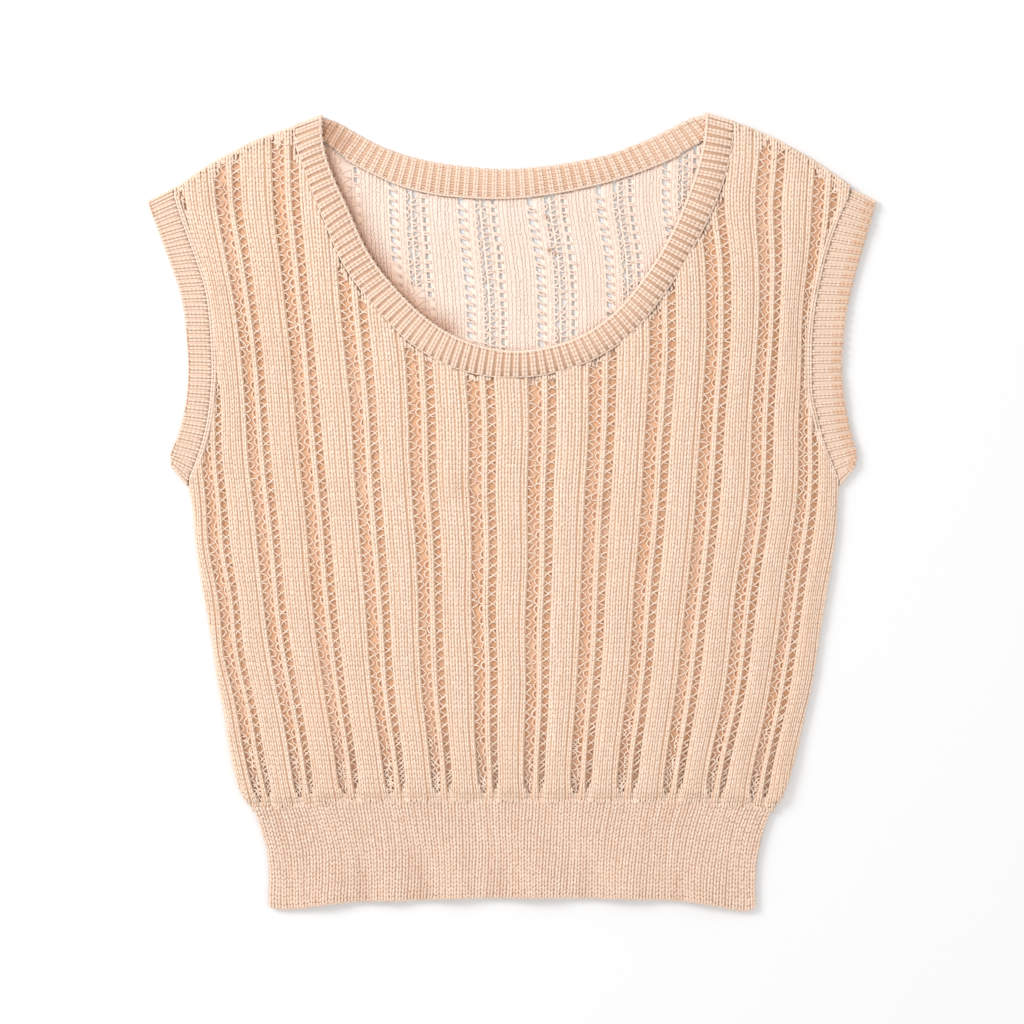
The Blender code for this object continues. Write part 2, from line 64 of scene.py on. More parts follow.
BODY_ROWS = (
    # height, left side, right side
    (-192.0, -170.5, 170.5),
    (-187.0, -174.5, 174.5),
    (-180.7, -177.8, 177.3),
    (-171.0, -181.0, 180.6),
    (-151.5, -184.9, 185.8),
    (-132.0, -187.9, 190.1),
    (-112.4, -191.7, 194.4),
    (-92.9, -194.7, 197.9),
    (-73.4, -197.6, 200.8),
    (-54.0, -201.2, 204.2),
    (-34.4, -204.4, 207.2),
    (-14.9, -206.8, 210.0),
    (4.5, -208.6, 211.0),
    (17.5, -211.2, 212.0),
)
ARMHOLE_ROWS = (
    # seam height, left seam, right seam, left edge, right edge, height of the edge above the seam
    (18.5, -211.6, 212.2, -221.6, 222.0, 12.0),
    (32.0, -206.1, 207.0, -222.3, 223.3, 5.5),
    (46.0, -201.6, 201.7, -217.8, 220.0, 3.5),
    (61.0, -198.3, 197.7, -214.0, 217.1, 2.0),
    (75.0, -196.6, 194.6, -211.8, 215.1, 1.0),
    (92.0, -195.6, 193.9, -210.9, 213.6, 0.5),
    (111.0, -196.3, 194.1, -211.8, 214.7, 0.0),
    (130.0, -197.7, 195.8, -213.8, 216.8, 0.0),
    (145.0, -200.1, 198.4, -216.6, 219.8, -1.0),
    (160.0, -204.6, 201.7, -221.6, 223.6, -1.5),
    (179.0, -211.5, 207.2, -227.6, 228.4, -4.0),
    (197.0, -217.6, 214.3, -233.4, 233.0, -6.5),
    (208.3, -221.0, 219.6, -236.8, 235.4, -8.0),
)
SHOULDER_ROWS = (
    # distance from the middle, left height, right height
    (218.8, 211.2, 212.6),
    (195.0, 227.6, 229.0),
    (170.3, 240.4, 242.8),
    (153.5, 247.2, 250.2),
)
NECK_CORNERS = ((-142.0, 250.8), (143.9, 253.2))
NECK_FRONT_ROWS = (
    # seam x, seam y, free edge x, free edge y
    (-141.4, 249.2, -124.2, 255.4),
    (-140.8, 238.0, -124.0, 245.0),
    (-135.8, 222.6, -120.8, 229.0),
    (-130.7, 208.6, -115.8, 215.5),
    (-123.2, 190.6, -108.8, 200.4),
    (-108.9, 158.9, -93.9, 168.4),
    (-88.1, 131.3, -74.5, 142.9),
    (-66.0, 109.4, -54.5, 124.4),
    (-45.5, 96.6, -38.5, 114.4),
    (-22.0, 89.2, -18.8, 107.3),
    (0.0, 87.4, 0.8, 104.6),
    (26.7, 90.4, 22.8, 107.3),
    (49.9, 98.2, 42.3, 113.6),
    (73.1, 112.5, 62.3, 126.4),
    (97.2, 140.4, 83.6, 150.2),
    (116.7, 171.3, 101.7, 178.9),
    (129.7, 196.9, 112.8, 203.6),
    (139.2, 223.7, 120.6, 226.9),
    (142.3, 240.0, 124.2, 243.6),
    (143.0, 251.6, 125.2, 256.8),
)
NECK_BACK_ROWS = (
    # seam x, seam y, free edge x, free edge y
    (-122.4, 240.0, -114.6, 252.8),
    (-108.6, 229.5, -98.2, 243.8),
    (-94.0, 221.6, -85.4, 237.2),
    (-76.0, 213.4, -70.4, 231.7),
    (-53.6, 207.2, -50.6, 227.0),
    (-30.2, 204.6, -28.6, 223.9),
    (-4.9, 203.9, -4.9, 222.4),
    (21.1, 206.4, 18.5, 224.1),
    (47.0, 211.2, 42.6, 227.7),
    (70.5, 217.4, 63.6, 232.4),
    (89.9, 224.3, 81.6, 239.1),
    (109.1, 232.9, 100.0, 247.6),
    (125.6, 241.9, 114.8, 255.0),
)
WAIST_SEAM_MIDDLE = -187.5
WAIST_SEAM_CORNERS = -192.0
WAISTBAND_ROWS = (
    # height, left side, right side
    (-262.0, -157.6, 157.4),
    (-256.0, -158.9, 157.6),
    (-240.0, -158.9, 157.8),
    (-229.5, -159.2, 158.6),
    (-219.7, -160.4, 160.2),
    (-210.0, -163.0, 162.4),
    (-200.0, -166.0, 165.6),
    (-191.0, -169.5, 169.3),
)
HEM_ROWS = (
    # place across, height of the lower edge
    (-159.0, -256.4),
    (-151.0, -258.2),
    (-141.0, -258.0),
    (-122.0, -255.4),
    (-102.0, -253.3),
    (-73.0, -252.6),
    (-40.0, -251.2),
    (0.0, -250.8),
    (44.0, -250.9),
    (83.0, -251.6),
    (112.0, -252.9),
    (132.0, -256.0),
    (144.0, -258.7),
    (152.0, -259.3),
    (158.0, -256.9),
)
WAISTBAND_WALL = 2.1
HEM_WAVES = (
    # place across, lift at the hem, half width
    (-120.0, 2.4, 14.0),
    (-79.0, 2.1, 11.5),
    (-38.0, 2.7, 14.5),
    (16.0, 3.0, 19.5),
    (74.0, 2.8, 17.0),
    (124.0, 2.4, 14.0),
)
LADDERS = 12
LADDER_ROWS = (
    # height, middle, half width, bow
    (-190.0, -4.5, 179.0, -5.0),
    (-167.7, -4.5, 184.6, -6.9),
    (-109.2, -4.6, 201.9, -11.6),
    (-50.7, -4.7, 214.1, -15.1),
    (7.8, -4.4, 224.3, -17.3),
    (66.3, -4.8, 236.5, -29.1),
    (124.8, -6.5, 246.2, -36.2),
    (163.8, -8.6, 246.5, -28.7),
    (202.8, -13.0, 240.4, -10.5),
    (228.8, -13.3, 241.7, -9.3),
    (256.0, -13.5, 242.0, -9.0),
)
PUFF_RISE = 1.4
PUFF_PEAK = 7.0
PUFF_END = 70.0
NECK_WALL = 2.4
NECK_CROWN = 1.3
NECK_CROWN_BACK = 0.8
ARM_WALL = 1.9
ARM_CROWN = 0.3
CROWN_START = 22.0
CROWN_FULL = 48.0

# The knitted repeat, from one wide ladder to the next: its surface's height, as a share of the rib's rise
RIB_PROFILE = (
    # place in the repeat, share
    (-0.10, 0.26),
    (-0.075, 0.0),
    (-0.03, -0.12),
    (0.07, 0.02),
    (0.10, 0.30),
    (0.14, 0.40),
    (0.18, 0.30),
    (0.21, 0.02),
    (0.29, 0.08),
    (0.32, 0.42),
    (0.36, 0.76),
    (0.42, 0.96),
    (0.49, 1.03),
    (0.57, 0.99),
    (0.65, 0.87),
    (0.73, 0.68),
    (0.762, 0.48),
    (0.80, 0.56),
    (0.85, 0.48),
    (0.88, 0.34),
    (0.90, 0.26),
    (0.925, 0.0),
    (0.97, -0.12),
    (1.07, 0.02),
)
# Legs of the knit stitches: two to a wale, leaning a little apart upwards
PANEL_LEGS = (0.354, 0.404, 0.462, 0.512, 0.570, 0.620, 0.678, 0.728)
WALE_LEGS = (0.118, 0.166)
EDGE_LEGS = (0.794, 0.846)
BACK_EDGE_LEGS = (0.836, 0.882)
CLOSING_LEGS = (
    # place in the repeat, height above the waist seam
    (0.016, 4.0),
    (0.066, 5.5),
    (0.216, 5.0),
    (0.262, 7.0),
    (0.306, 10.0),
    (0.896, 9.0),
    (0.942, 5.0),
    (0.980, 3.0),
)
# How the waistband gathers the repeat: where each place lies at the seam
SQUEEZE = (
    # place in the repeat, place at the seam
    (0.000, -0.006),
    (0.078, 0.045),
    (0.205, 0.232),
    (0.325, 0.298),
    (0.885, 0.920),
    (0.982, 0.982),
    (1.000, 0.994),
)
SQUEEZE_END = 17.0
# Stitches that turn round the body's edges: how far in from the outline, and each row's height and tone
EDGE_INSET = 0.95
EDGE_CHAINS = ((1.5, 0.78), (2.65, 0.88))
LEG_RADIUS = 0.0262
LEG_LEAN = 0.0017
LEG_OVERLAP = 1.42
LEG_HEIGHT = 0.92
COURSE = 3.05
LOOP_PITCH = 6.1
FRONT_LEGS_START = -193.5
BACK_LEGS_START = -191.0
LEGS_TOP = 258.0
LOOPS_TOP = 256.0
GATHER_START = -186.0
# The bands' ribs: how far each leg reaches over the next, and how flat the yarn lies
RIB_OVERLAP = 1.4
RIB_FLATNESS = 0.82
# Sections of a leg of yarn: place along its length, size
LEG_SECTIONS = ((-0.27, 1.0), (0.27, 1.0))
SHORT_SECTIONS = ((0.0, 1.0),)

# Shapes of the ladders' yarn. Each ends with how far its places, heights and lifts vary at random.
RIGHT_LOOP = ((
    # place in the repeat, height, lift, shares of the three variations
    (0.108, -0.3, 0.10, 0.0, 0.0, 0.0),
    (0.078, -0.2, 0.0, 0.0, 0.4, 1.0),
    (0.036, 0.7, -0.1, 1.0, 1.0, 1.0),
    (0.012, 2.3, -0.15, 1.0, 1.0, 1.0),
    (0.030, 3.9, -0.1, 1.0, 1.0, 1.0),
    (0.070, 4.9, 0.0, 0.0, 0.4, 1.0),
    (0.108, 5.4, 0.10, 0.0, 0.0, 0.0),
), (0.014, 0.7, 0.12))
LEFT_LOOP = ((
    (-0.132, 2.8, 0.1, 0.0, 0.0, 0.0),
    (-0.098, 3.0, 0.05, 0.0, 0.4, 0.0),
    (-0.050, 3.9, 0.0, 1.0, 1.0, 0.0),
    (-0.006, 5.3, 0.0, 1.0, 1.0, 0.0),
    (-0.046, 6.8, 0.0, 1.0, 1.0, 0.0),
    (-0.094, 7.9, 0.05, 0.0, 0.4, 0.0),
    (-0.132, 8.3, 0.1, 0.0, 0.0, 0.0),
), (0.014, 0.7, 0.0))
RISING_STROKE = ((
    (0.182, -0.6, 0.05, 0.0, 0.0, 0.0),
    (0.207, 0.3, 0.05, 0.0, 0.5, 0.0),
    (0.238, 1.2, 0.0, 0.0, 1.0, 0.0),
    (0.278, 1.9, 0.0, 0.0, 1.0, 0.0),
    (0.312, 2.7, 0.05, 0.0, 0.5, 0.0),
    (0.335, 3.8, 0.10, 0.0, 0.0, 0.0),
), (0.0, 0.4, 0.0))
FALLING_STROKE = ((
    (0.186, 3.4, -0.1, 0.0, 0.0, 0.0),
    (0.207, 2.5, -0.15, 0.0, 0.0, 0.0),
    (0.235, 1.6, -0.25, 0.0, 1.0, 0.0),
    (0.275, 0.8, -0.25, 0.0, 1.0, 0.0),
    (0.305, 0.2, -0.15, 0.0, 0.0, 0.0),
    (0.335, -0.9, -0.1, 0.0, 0.0, 0.0),
), (0.0, 0.5, 0.0))
GROOVE_STROKE = ((
    (0.745, 0.0, 0.0, 0.0, 0.0, 0.0),
    (0.780, 0.4, 0.0, 0.0, 1.0, 0.0),
    (0.815, 0.8, 0.0, 0.0, 1.0, 0.0),
    (0.845, 1.2, 0.0, 0.0, 0.0, 0.0),
), (0.0, 0.3, 0.0))
FRONT_YARNS = (
    # shape, start, radius, tone
    (RIGHT_LOOP, -189.0, 0.47, 0.88),
    (LEFT_LOOP, -189.0, 0.47, 0.92),
    (RISING_STROKE, -189.5, 0.57, 0.82),
    (FALLING_STROKE, -189.5, 0.45, 0.80),
)
INSIDE_YARNS = (
    # shape, start, radius, tone, bends kept, how much higher each strand lies
    (RIGHT_LOOP, -189.0, 0.82, 0.85, (0, 2, 3, 4, 6), (0.0,)),
    (LEFT_LOOP, -189.0, 0.78, 0.80, (0, 2, 3, 4, 6), (0.0,)),
    (RISING_STROKE, -189.5, 0.82, 0.85, (0, 2, 3, 5), (0.0, 1.3)),
    (GROOVE_STROKE, -187.0, 0.78, 0.85, (0, 1, 2, 3), (0.0, 1.3)),
)
UNDER_YARNS = (
    # shape, start, radius, tone, bends kept, how much higher each strand lies
    (RIGHT_LOOP, -189.0, 0.55, 0.85, (0, 3, 6), (0.0,)),
    (LEFT_LOOP, -189.0, 0.45, 0.80, (0, 3, 6), (0.0,)),
    (RISING_STROKE, -189.5, 0.55, 0.85, (0, 5), (0.0,)),
    (GROOVE_STROKE, -187.0, 0.45, 0.85, (0, 3), (0.0,)),
)

STAINS = (
    # place across, height, radius, strength
    (21.8, 191.8, 1.3, 0.80),
    (23.1, 184.0, 1.0, 0.75),
    (23.7, 170.3, 1.6, 0.90),
    (27.6, 168.4, 1.0, 0.60),
    (41.9, 160.6, 1.1, 0.60),
    (4.2, 180.7, 0.8, 0.50),
    (-17.9, 148.9, 1.0, 0.55),
    (58.8, 4.6, 7.0, 0.12),
    (-34.1, 17.6, 8.0, 0.12),
    (-164.1, 105.3, 8.0, 0.10),
    (-187.9, 204.8, 10.0, 0.16),
    (-181.0, 211.0, 6.0, 0.12),
)

# Painted shade: soft streaks up from the hem in the valleys between its waves
HEM_FOLD_SHADE = (
    # place across at the hem, lean, half width, strength
    (-97.2, -0.10, 4.5, 0.15),
    (-58.8, -0.06, 5.0, 0.17),
    (-9.4, 0.04, 7.0, 0.12),
    (46.5, 0.04, 5.0, 0.12),
    (105.6, 0.08, 5.0, 0.12),
)

# Painted shade where the back of the neckband turns under its left fold, so that its yarn shows darker
FOLD_PAINTED_SHADES = (
    # place across, height, radius, strength
    (-121.0, 248.0, 10.0, 0.62),
    (-114.0, 240.0, 10.0, 0.46),
)

# The back's repeat runs the other way, slides across from the waist to the neck, and spreads there
BACK_SLIDE_LOW = 0.68
BACK_SLIDE_HIGH = 0.294
BACK_SPREAD = 0.41
BACK_SPREAD_REACH = 3.0


def column(rows, index):
    return np.array([row[index] for row in rows], float)


def smooth(share):
    share = np.clip(share, 0.0, 1.0)
    return share * share * (3.0 - 2.0 * share)


def through(at, knots, values):
    """A smooth curve through the values at the rising knots, read at the given places."""
    knots = np.asarray(knots, float)
    values = np.asarray(values, float)
    at = np.clip(np.asarray(at, float), knots[0], knots[-1])
    slopes = np.gradient(values, knots)
    cell = np.clip(np.searchsorted(knots, at) - 1, 0, len(knots) - 2)
    width = knots[cell + 1] - knots[cell]
    share = (at - knots[cell]) / width
    rise = values[cell + 1] - values[cell]
    straight = values[cell] + rise * share
    bend_start = slopes[cell] * width - rise
    bend_end = slopes[cell + 1] * width - rise
    return straight + share * (1 - share) * (bend_start * (1 - share) - bend_end * share)


def read(rows, at, index):
    """A smooth curve through a column of a table, read at places in its first column."""
    return through(at, column(rows, 0), column(rows, index))


def path_length(points):
    return float(np.linalg.norm(np.diff(points, axis=0), axis=1).sum())


def evenly_along(points, count):
    """That many points, evenly spaced along a smooth curve through the given ones."""
    points = np.asarray(points, float)
    steps = np.linalg.norm(np.diff(points, axis=0), axis=1)
    knots = np.concatenate([[0.0], np.cumsum(steps)])
    at = np.linspace(0.0, knots[-1], count)
    return np.stack([through(at, knots, points[:, i]) for i in range(points.shape[1])], axis=1)


def unit(vectors):
    return vectors / np.maximum(np.linalg.norm(vectors, axis=-1, keepdims=True), 1e-9)


def facing(up, count):
    """That many normals straight up or down."""
    return np.tile([0.0, 0.0, up], (count, 1))


def raised(points, height):
    """Flat points, all at one height."""
    return np.column_stack([points, np.full(len(points), height)])


# Outline

UNDERARM = ARMHOLE_ROWS[0][0]
NECK_SAMPLES = 201
BACK_SEAM_ROWS = (NECK_FRONT_ROWS[0], *NECK_BACK_ROWS, NECK_FRONT_ROWS[-1])


def side(y, index, inward):
    """The body's outline on one side: its side fold, and its seam with the armband above the underarm."""
    body = read(BODY_ROWS, y, index)
    arm = read(ARMHOLE_ROWS, y, index) + inward * SEAM_GAP
    return np.where(np.asarray(y) < UNDERARM - 0.5, body, arm)


def left_side(y):
    return side(y, 1, 1.0)


def right_side(y):
    return side(y, 2, -1.0)


def from_sides(x, y):
    return np.minimum(x - left_side(y), right_side(y) - x)


def waist_seam(x):
    share = np.abs(np.asarray(x, float)) / BODY_ROWS[0][2]
    return WAIST_SEAM_MIDDLE + (WAIST_SEAM_CORNERS - WAIST_SEAM_MIDDLE) * smooth((share - 0.6) / 0.4)


def neck_points(rows):
    seam = evenly_along(rows, NECK_SAMPLES)[:, :2]
    tangent = unit(np.gradient(seam, axis=0))
    return seam + np.stack([tangent[:, 1], -tangent[:, 0]], axis=1) * SEAM_GAP


def top_line(neck):
    left = [*((-row[0], row[1]) for row in SHOULDER_ROWS), NECK_CORNERS[0]]
    right = [*((row[0], row[2]) for row in SHOULDER_ROWS), NECK_CORNERS[1]]
    neck = neck[(neck[:, 0] > left[-1][0] + 0.2) & (neck[:, 0] < right[-1][0] - 0.2)]
    line = np.array([*left, *neck, *right[::-1]])
    return line[np.argsort(line[:, 0], kind="stable")]


NECK_FRONT = neck_points(NECK_FRONT_ROWS)
NECK_BACK = neck_points(BACK_SEAM_ROWS)
NECK_EDGE_LEFT = evenly_along(NECK_FRONT_ROWS, 161)[2:62, 2:4]
FRONT_TOP = top_line(NECK_FRONT)
BACK_TOP = top_line(NECK_BACK)


def height_on(line, x):
    return np.interp(x, line[:, 0], line[:, 1])


def on_shoulder(x):
    return (x < NECK_CORNERS[0][0]) | (x > NECK_CORNERS[1][0])


def in_neck(x, y, margin):
    """Whether points show through the front neckline."""
    return (np.abs(x) < 142.0 + margin) & (y > height_on(NECK_FRONT, x) - margin)


def distance_to(x, y, line):
    """How far points are from a line of points."""
    x, y = np.broadcast_arrays(np.asarray(x, float), np.asarray(y, float))
    flat = np.stack([x.ravel(), y.ravel()], axis=1)
    best = np.full(len(flat), 1e9)
    for start in range(0, len(line), 25):
        part = line[start:start + 25]
        gaps = np.linalg.norm(flat[:, None, :] - part[None, :, :], axis=2).min(axis=1)
        best = np.minimum(best, gaps)
    return best.reshape(x.shape)


def edge_fall(distance):
    return np.sqrt(np.clip(1.0 - (1.0 - np.clip(distance / EDGE_ROUNDING, 0.0, 1.0)) ** 2, 0.0, 1.0))


# The knitted repeat

# Each ladder's slow swing to its sides: length, phase, size
WANDER = np.array([
    (RNG.uniform(60, 150), RNG.uniform(0, 6.28), RNG.uniform(0.3, 0.8)) for _ in range(LADDERS + 4)
])


def ladder_x(place, y):
    """Where a place in the repeat lies at a height. Whole numbers are wide ladders."""
    place, y = np.broadcast_arrays(np.asarray(place, float), np.asarray(y, float))
    middle, half, bow = (read(LADDER_ROWS, y, i) for i in (1, 2, 3))
    off = (place - (LADDERS - 1) / 2) / (LADDERS / 2)
    x = middle + half * off + bow * off**3
    cell = np.clip(np.floor(place).astype(int) + 2, 0, LADDERS + 2)
    lengths, phases, sizes = WANDER.T
    this, after = (sizes[c] * np.sin(y / lengths[c] * 6.28 + phases[c]) for c in (cell, cell + 1))
    return x + this + (after - this) * (place - np.floor(place))


def repeat_width(place, y):
    return ladder_x(place + 0.5, y) - ladder_x(place - 0.5, y)


def rib_share(part):
    return read(RIB_PROFILE, part, 1)


def front_surface(place, y):
    """Points of the front's outer surface, for places in the repeat."""
    place, y = np.broadcast_arrays(np.asarray(place, float), np.asarray(y, float))
    above = y - waist_seam(ladder_x(place, y))
    part = place - np.floor(place)
    squeezed = np.interp(part, column(SQUEEZE, 0), column(SQUEEZE, 1))
    x = ladder_x(place + (squeezed - part) * (1.0 - smooth(above / SQUEEZE_END)), y)
    puff = smooth(above / PUFF_PEAK) * (1.0 - smooth((above - PUFF_PEAK) / (PUFF_END - PUFF_PEAK)))
    rib = rib_share(part) * (0.75 + 0.25 * smooth(above / PUFF_PEAK))
    roll = np.clip(-above / 2.2, 0.0, 1.4) ** 2
    wall = LADDER_WALL + RIB_RISE * rib + PUFF_RISE * puff - roll
    fold = np.where(y > UNDERARM, 1.0, edge_fall(from_sides(x, y)))
    fold = np.where(on_shoulder(x), np.minimum(fold, edge_fall(height_on(FRONT_TOP, x) - y)), fold)
    z = FRONT_INSIDE + EDGE_HEIGHT + (wall - EDGE_HEIGHT) * fold
    return np.stack([x, y, z], axis=-1)


def front_normals(place, y):
    across = front_surface(place + 0.02, y) - front_surface(place - 0.02, y)
    along = front_surface(place, y + 0.5) - front_surface(place, y - 0.5)
    return unit(np.cross(across, along))


def back_place(part, cell, y):
    """The place under which a part of the back's own repeat lies. It runs the other way."""
    rise = smooth((y + 60.0) / 165.0)
    middle = (LADDERS - 1) / 2
    off = cell + BACK_SLIDE_LOW + (BACK_SLIDE_HIGH - BACK_SLIDE_LOW) * rise - part - middle
    return middle + off + BACK_SPREAD * np.tanh(off / BACK_SPREAD_REACH) * rise


def gathered(y, reach):
    """How closely the waistband still gathers the knit at a height."""
    return 1.0 - smooth((y - GATHER_START) / reach)


def inner_drop(x, y):
    """How much lower the back lies where the front's neckline leaves it free."""
    return BACK_DROP * smooth((y - height_on(NECK_FRONT, x) + 2.0) / 8.0) * smooth((150.0 - np.abs(x)) / 12.0)


# Meshes

def stain_and_shade_at(points):
    """Warm painted shade by the neck's left edge, in the hem's folds and under the left fold; brown stains in
    specks.
    """
    x, y, z = points.T
    stain_and_shade = np.zeros(len(points))
    # Painted shadow that the front neckband casts on the back beside the neck's left edge
    near = np.flatnonzero((np.abs(x + 90.0) < 60.0) & (y > 100.0) & (z < 2.3))
    stain_and_shade[near] = 0.66 * np.exp(-((distance_to(x[near], y[near], NECK_EDGE_LEFT) / 8.5) ** 2))
    # Painted shade in the valleys between the hem's waves
    for middle, lean, width, strength in HEM_FOLD_SHADE:
        away = (x - middle - lean * (y + 250.0)) / width
        stain_and_shade = np.maximum(stain_and_shade, strength * np.exp(-(away**2)) * smooth((-212.0 - y) / 36.0))
    # Painted shade under the neckband's left fold, below its front layer, and the real stains
    for rows, ceiling in ((FOLD_PAINTED_SHADES, 3.4), (STAINS, math.inf)):
        for across, height, radius, strength in rows:
            away = np.hypot(x - across, y - height)
            stain_and_shade = np.maximum(stain_and_shade, strength * np.exp(-((away / radius) ** 2)) * (z < ceiling))
    return stain_and_shade


def mesh_piece(name, points, faces, tones, material, slot_name):
    """A piece from points in millimetres, faces that all have as many corners, and a tone for each point."""
    faces = np.asarray(faces, np.int32)
    mesh = bpy.data.meshes.new(name)
    mesh.vertices.add(len(points))
    mesh.vertices.foreach_set("co", ((points + SHIFT) * MM).astype(np.float32).ravel())
    mesh.loops.add(faces.size)
    mesh.loops.foreach_set("vertex_index", faces.ravel())
    mesh.polygons.add(len(faces))
    mesh.polygons.foreach_set("loop_start", np.arange(0, faces.size, faces.shape[1], dtype=np.int32))
    mesh.update(calc_edges=True)
    # Each point's tone holds painted shade, and its second attribute a share of brown for stains and painted
    # shade
    for attribute, values in (("tone", tones), ("stain_and_shade", stain_and_shade_at(points))):
        data = mesh.attributes.new(attribute, "FLOAT", "POINT").data
        data.foreach_set("value", np.asarray(values, np.float32))
    mesh.shade_smooth()
    mesh.materials.append(material)
    mesh.validate()
    piece = bpy.data.objects.new(name, mesh)
    bpy.context.scene.collection.objects.link(piece)
    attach(piece, "root")
    return piece


def thicken(piece, thickness):
    modifier = piece.modifiers.new("thickness", "SOLIDIFY")
    modifier.thickness = thickness * MM
    modifier.offset = -1.0


def gather(*parts):
    """Points, faces and tones of several parts as one."""
    points, faces, tones, start = [], [], [], 0
    for part_points, part_faces, part_tones in parts:
        points.append(part_points)
        faces.append(part_faces + start)
        tones.append(part_tones)
        start += len(part_points)
    return np.concatenate(points), np.concatenate(faces), np.concatenate(tones)


def above_plane(mesh):
    """Holds a mesh just above the plane that the top lies on."""
    points, faces, tones = mesh
    points[:, 2] = np.maximum(points[:, 2], PLANE_GAP)
    return points, faces, tones


def grid_faces(rows, columns):
    """Quads of a grid of points, row after row."""
    first = (np.arange(rows - 1)[:, None] * columns + np.arange(columns - 1)).ravel()
    return np.stack([first, first + 1, first + columns + 1, first + columns], axis=1)


def closed_sheet(points, faces, upper, lower, thickness):
    """Gives a sheet of quads that faces up a lower side and a rim, with a tone for each side."""
    count = len(points)
    edges = np.concatenate([faces[:, [i, (i + 1) % 4]] for i in range(4)])
    rim = edges[~np.isin(edges[:, 0] * count + edges[:, 1], edges[:, 1] * count + edges[:, 0])]
    walls = np.stack([rim[:, 1], rim[:, 0], rim[:, 0] + count, rim[:, 1] + count], axis=1)
    below = points - np.array([0.0, 0.0, thickness])
    faces = np.concatenate([faces, faces[:, ::-1] + count, walls])
    return np.concatenate([points, below]), faces, np.concatenate([upper, lower])


def legs(centre, along, normal, length, radius, height, tone, sections=LEG_SECTIONS):
    """Short lozenges of yarn, each with four sides that taper to its two ends, as triangles."""
    count = len(centre)
    along = unit(along)
    across = unit(np.cross(along, normal))
    normal = np.cross(across, along)
    values = (length, radius, height, tone)
    length, radius, height, tone = (np.broadcast_to(value, count)[:, None] for value in values)
    rows, shades = [], []

    def point(t, u, w):
        rows.append(centre + along * (t * length) + across * (u * radius) + normal * (w * height))
        # The tone falls towards each lozenge's sides and underside: painted shade
        shades.append(np.clip(tone + 0.35 * (w - 1.0), 0.0, 1.0))

    point(-0.5, 0.0, 0.1)
    for t, size in sections:
        for u, w in ((-size, 0.0), (0.0, size), (size, 0.0), (0.0, -0.8 * size)):
            point(t, u, w)
    point(0.5, 0.0, 0.1)
    points = np.stack(rows, axis=1)
    faces = []
    last = 1 + 4 * len(sections)
    for j in range(4):
        k = (j + 1) % 4
        faces.append((0, 1 + j, 1 + k))
        for a in range(1, last - 4, 4):
            b = a + 4
            faces += [(a + j, b + j, b + k), (a + j, b + k, a + k)]
        faces.append((last - 4 + j, last, last - 4 + k))
    faces = np.array(faces) + (np.arange(count) * points.shape[1])[:, None, None]
    return points.reshape(-1, 3), faces.reshape(-1, 3), np.stack(shades, axis=1).ravel()


def tubes(paths, radius, sides, tone):
    """Closed tubes of yarn along many paths of as many points, as triangles."""
    count, steps = paths.shape[:2]
    along = unit(np.gradient(paths, axis=1))
    across = unit(np.cross(along, np.array([0.0, 0.0, 1.0])))
    normal = np.cross(across, along)
    angle = np.arange(sides) * 2 * math.pi / sides + math.pi / 2
    ring = across[:, :, None] * np.cos(angle)[:, None] + normal[:, :, None] * np.sin(angle)[:, None]
    radius, tone = (np.broadcast_to(value, count)[:, None, None] for value in (radius, tone))
    points = paths[:, :, None] + ring * radius[..., None]
    # The tone falls towards each tube's sides and underside: painted shade
    tones = np.clip(tone + 0.2 * (np.sin(angle) - 1.0) + np.zeros((count, steps, 1)), 0.0, 1.0)
    faces = []
    for s in range(steps - 1):
        for j in range(sides):
            k = (j + 1) % sides
            a, b, c, d = s * sides + j, (s + 1) * sides + j, (s + 1) * sides + k, s * sides + k
            faces += [(a, c, b), (a, d, c)]
    end = (steps - 1) * sides
    for j in range(1, sides - 1):
        faces += [(0, j + 1, j), (end, end + j, end + j + 1)]
    faces = np.array(faces) + (np.arange(count) * steps * sides)[:, None, None]
    return points.reshape(-1, 3), faces.reshape(-1, 3), tones.ravel()


def seam_chain(points, radius, pitch, tone):
    """A strand of stitches along a line, from points with heights."""
    path = evenly_along(points, 2 * round(path_length(points) / pitch) + 1)
    centre = path[1:-1:2]
    ahead = path[2::2] - path[:-2:2]
    return legs(centre, ahead, facing(1.0, len(centre)), pitch * 1.35, radius, radius * 0.85, tone)


# Materials

# Brown for the real stains, and for painted shade by the neck's left edge, in the hem's folds and under the
# neckband's left fold
STAIN_AND_SHADE_COLOUR = (0.42, 0.17, 0.06)
UNEVEN_DYE = (0.97, 0.88, 0.82)


def set_values(node, values):
    for key, value in values.items():
        node.inputs[key].default_value = value


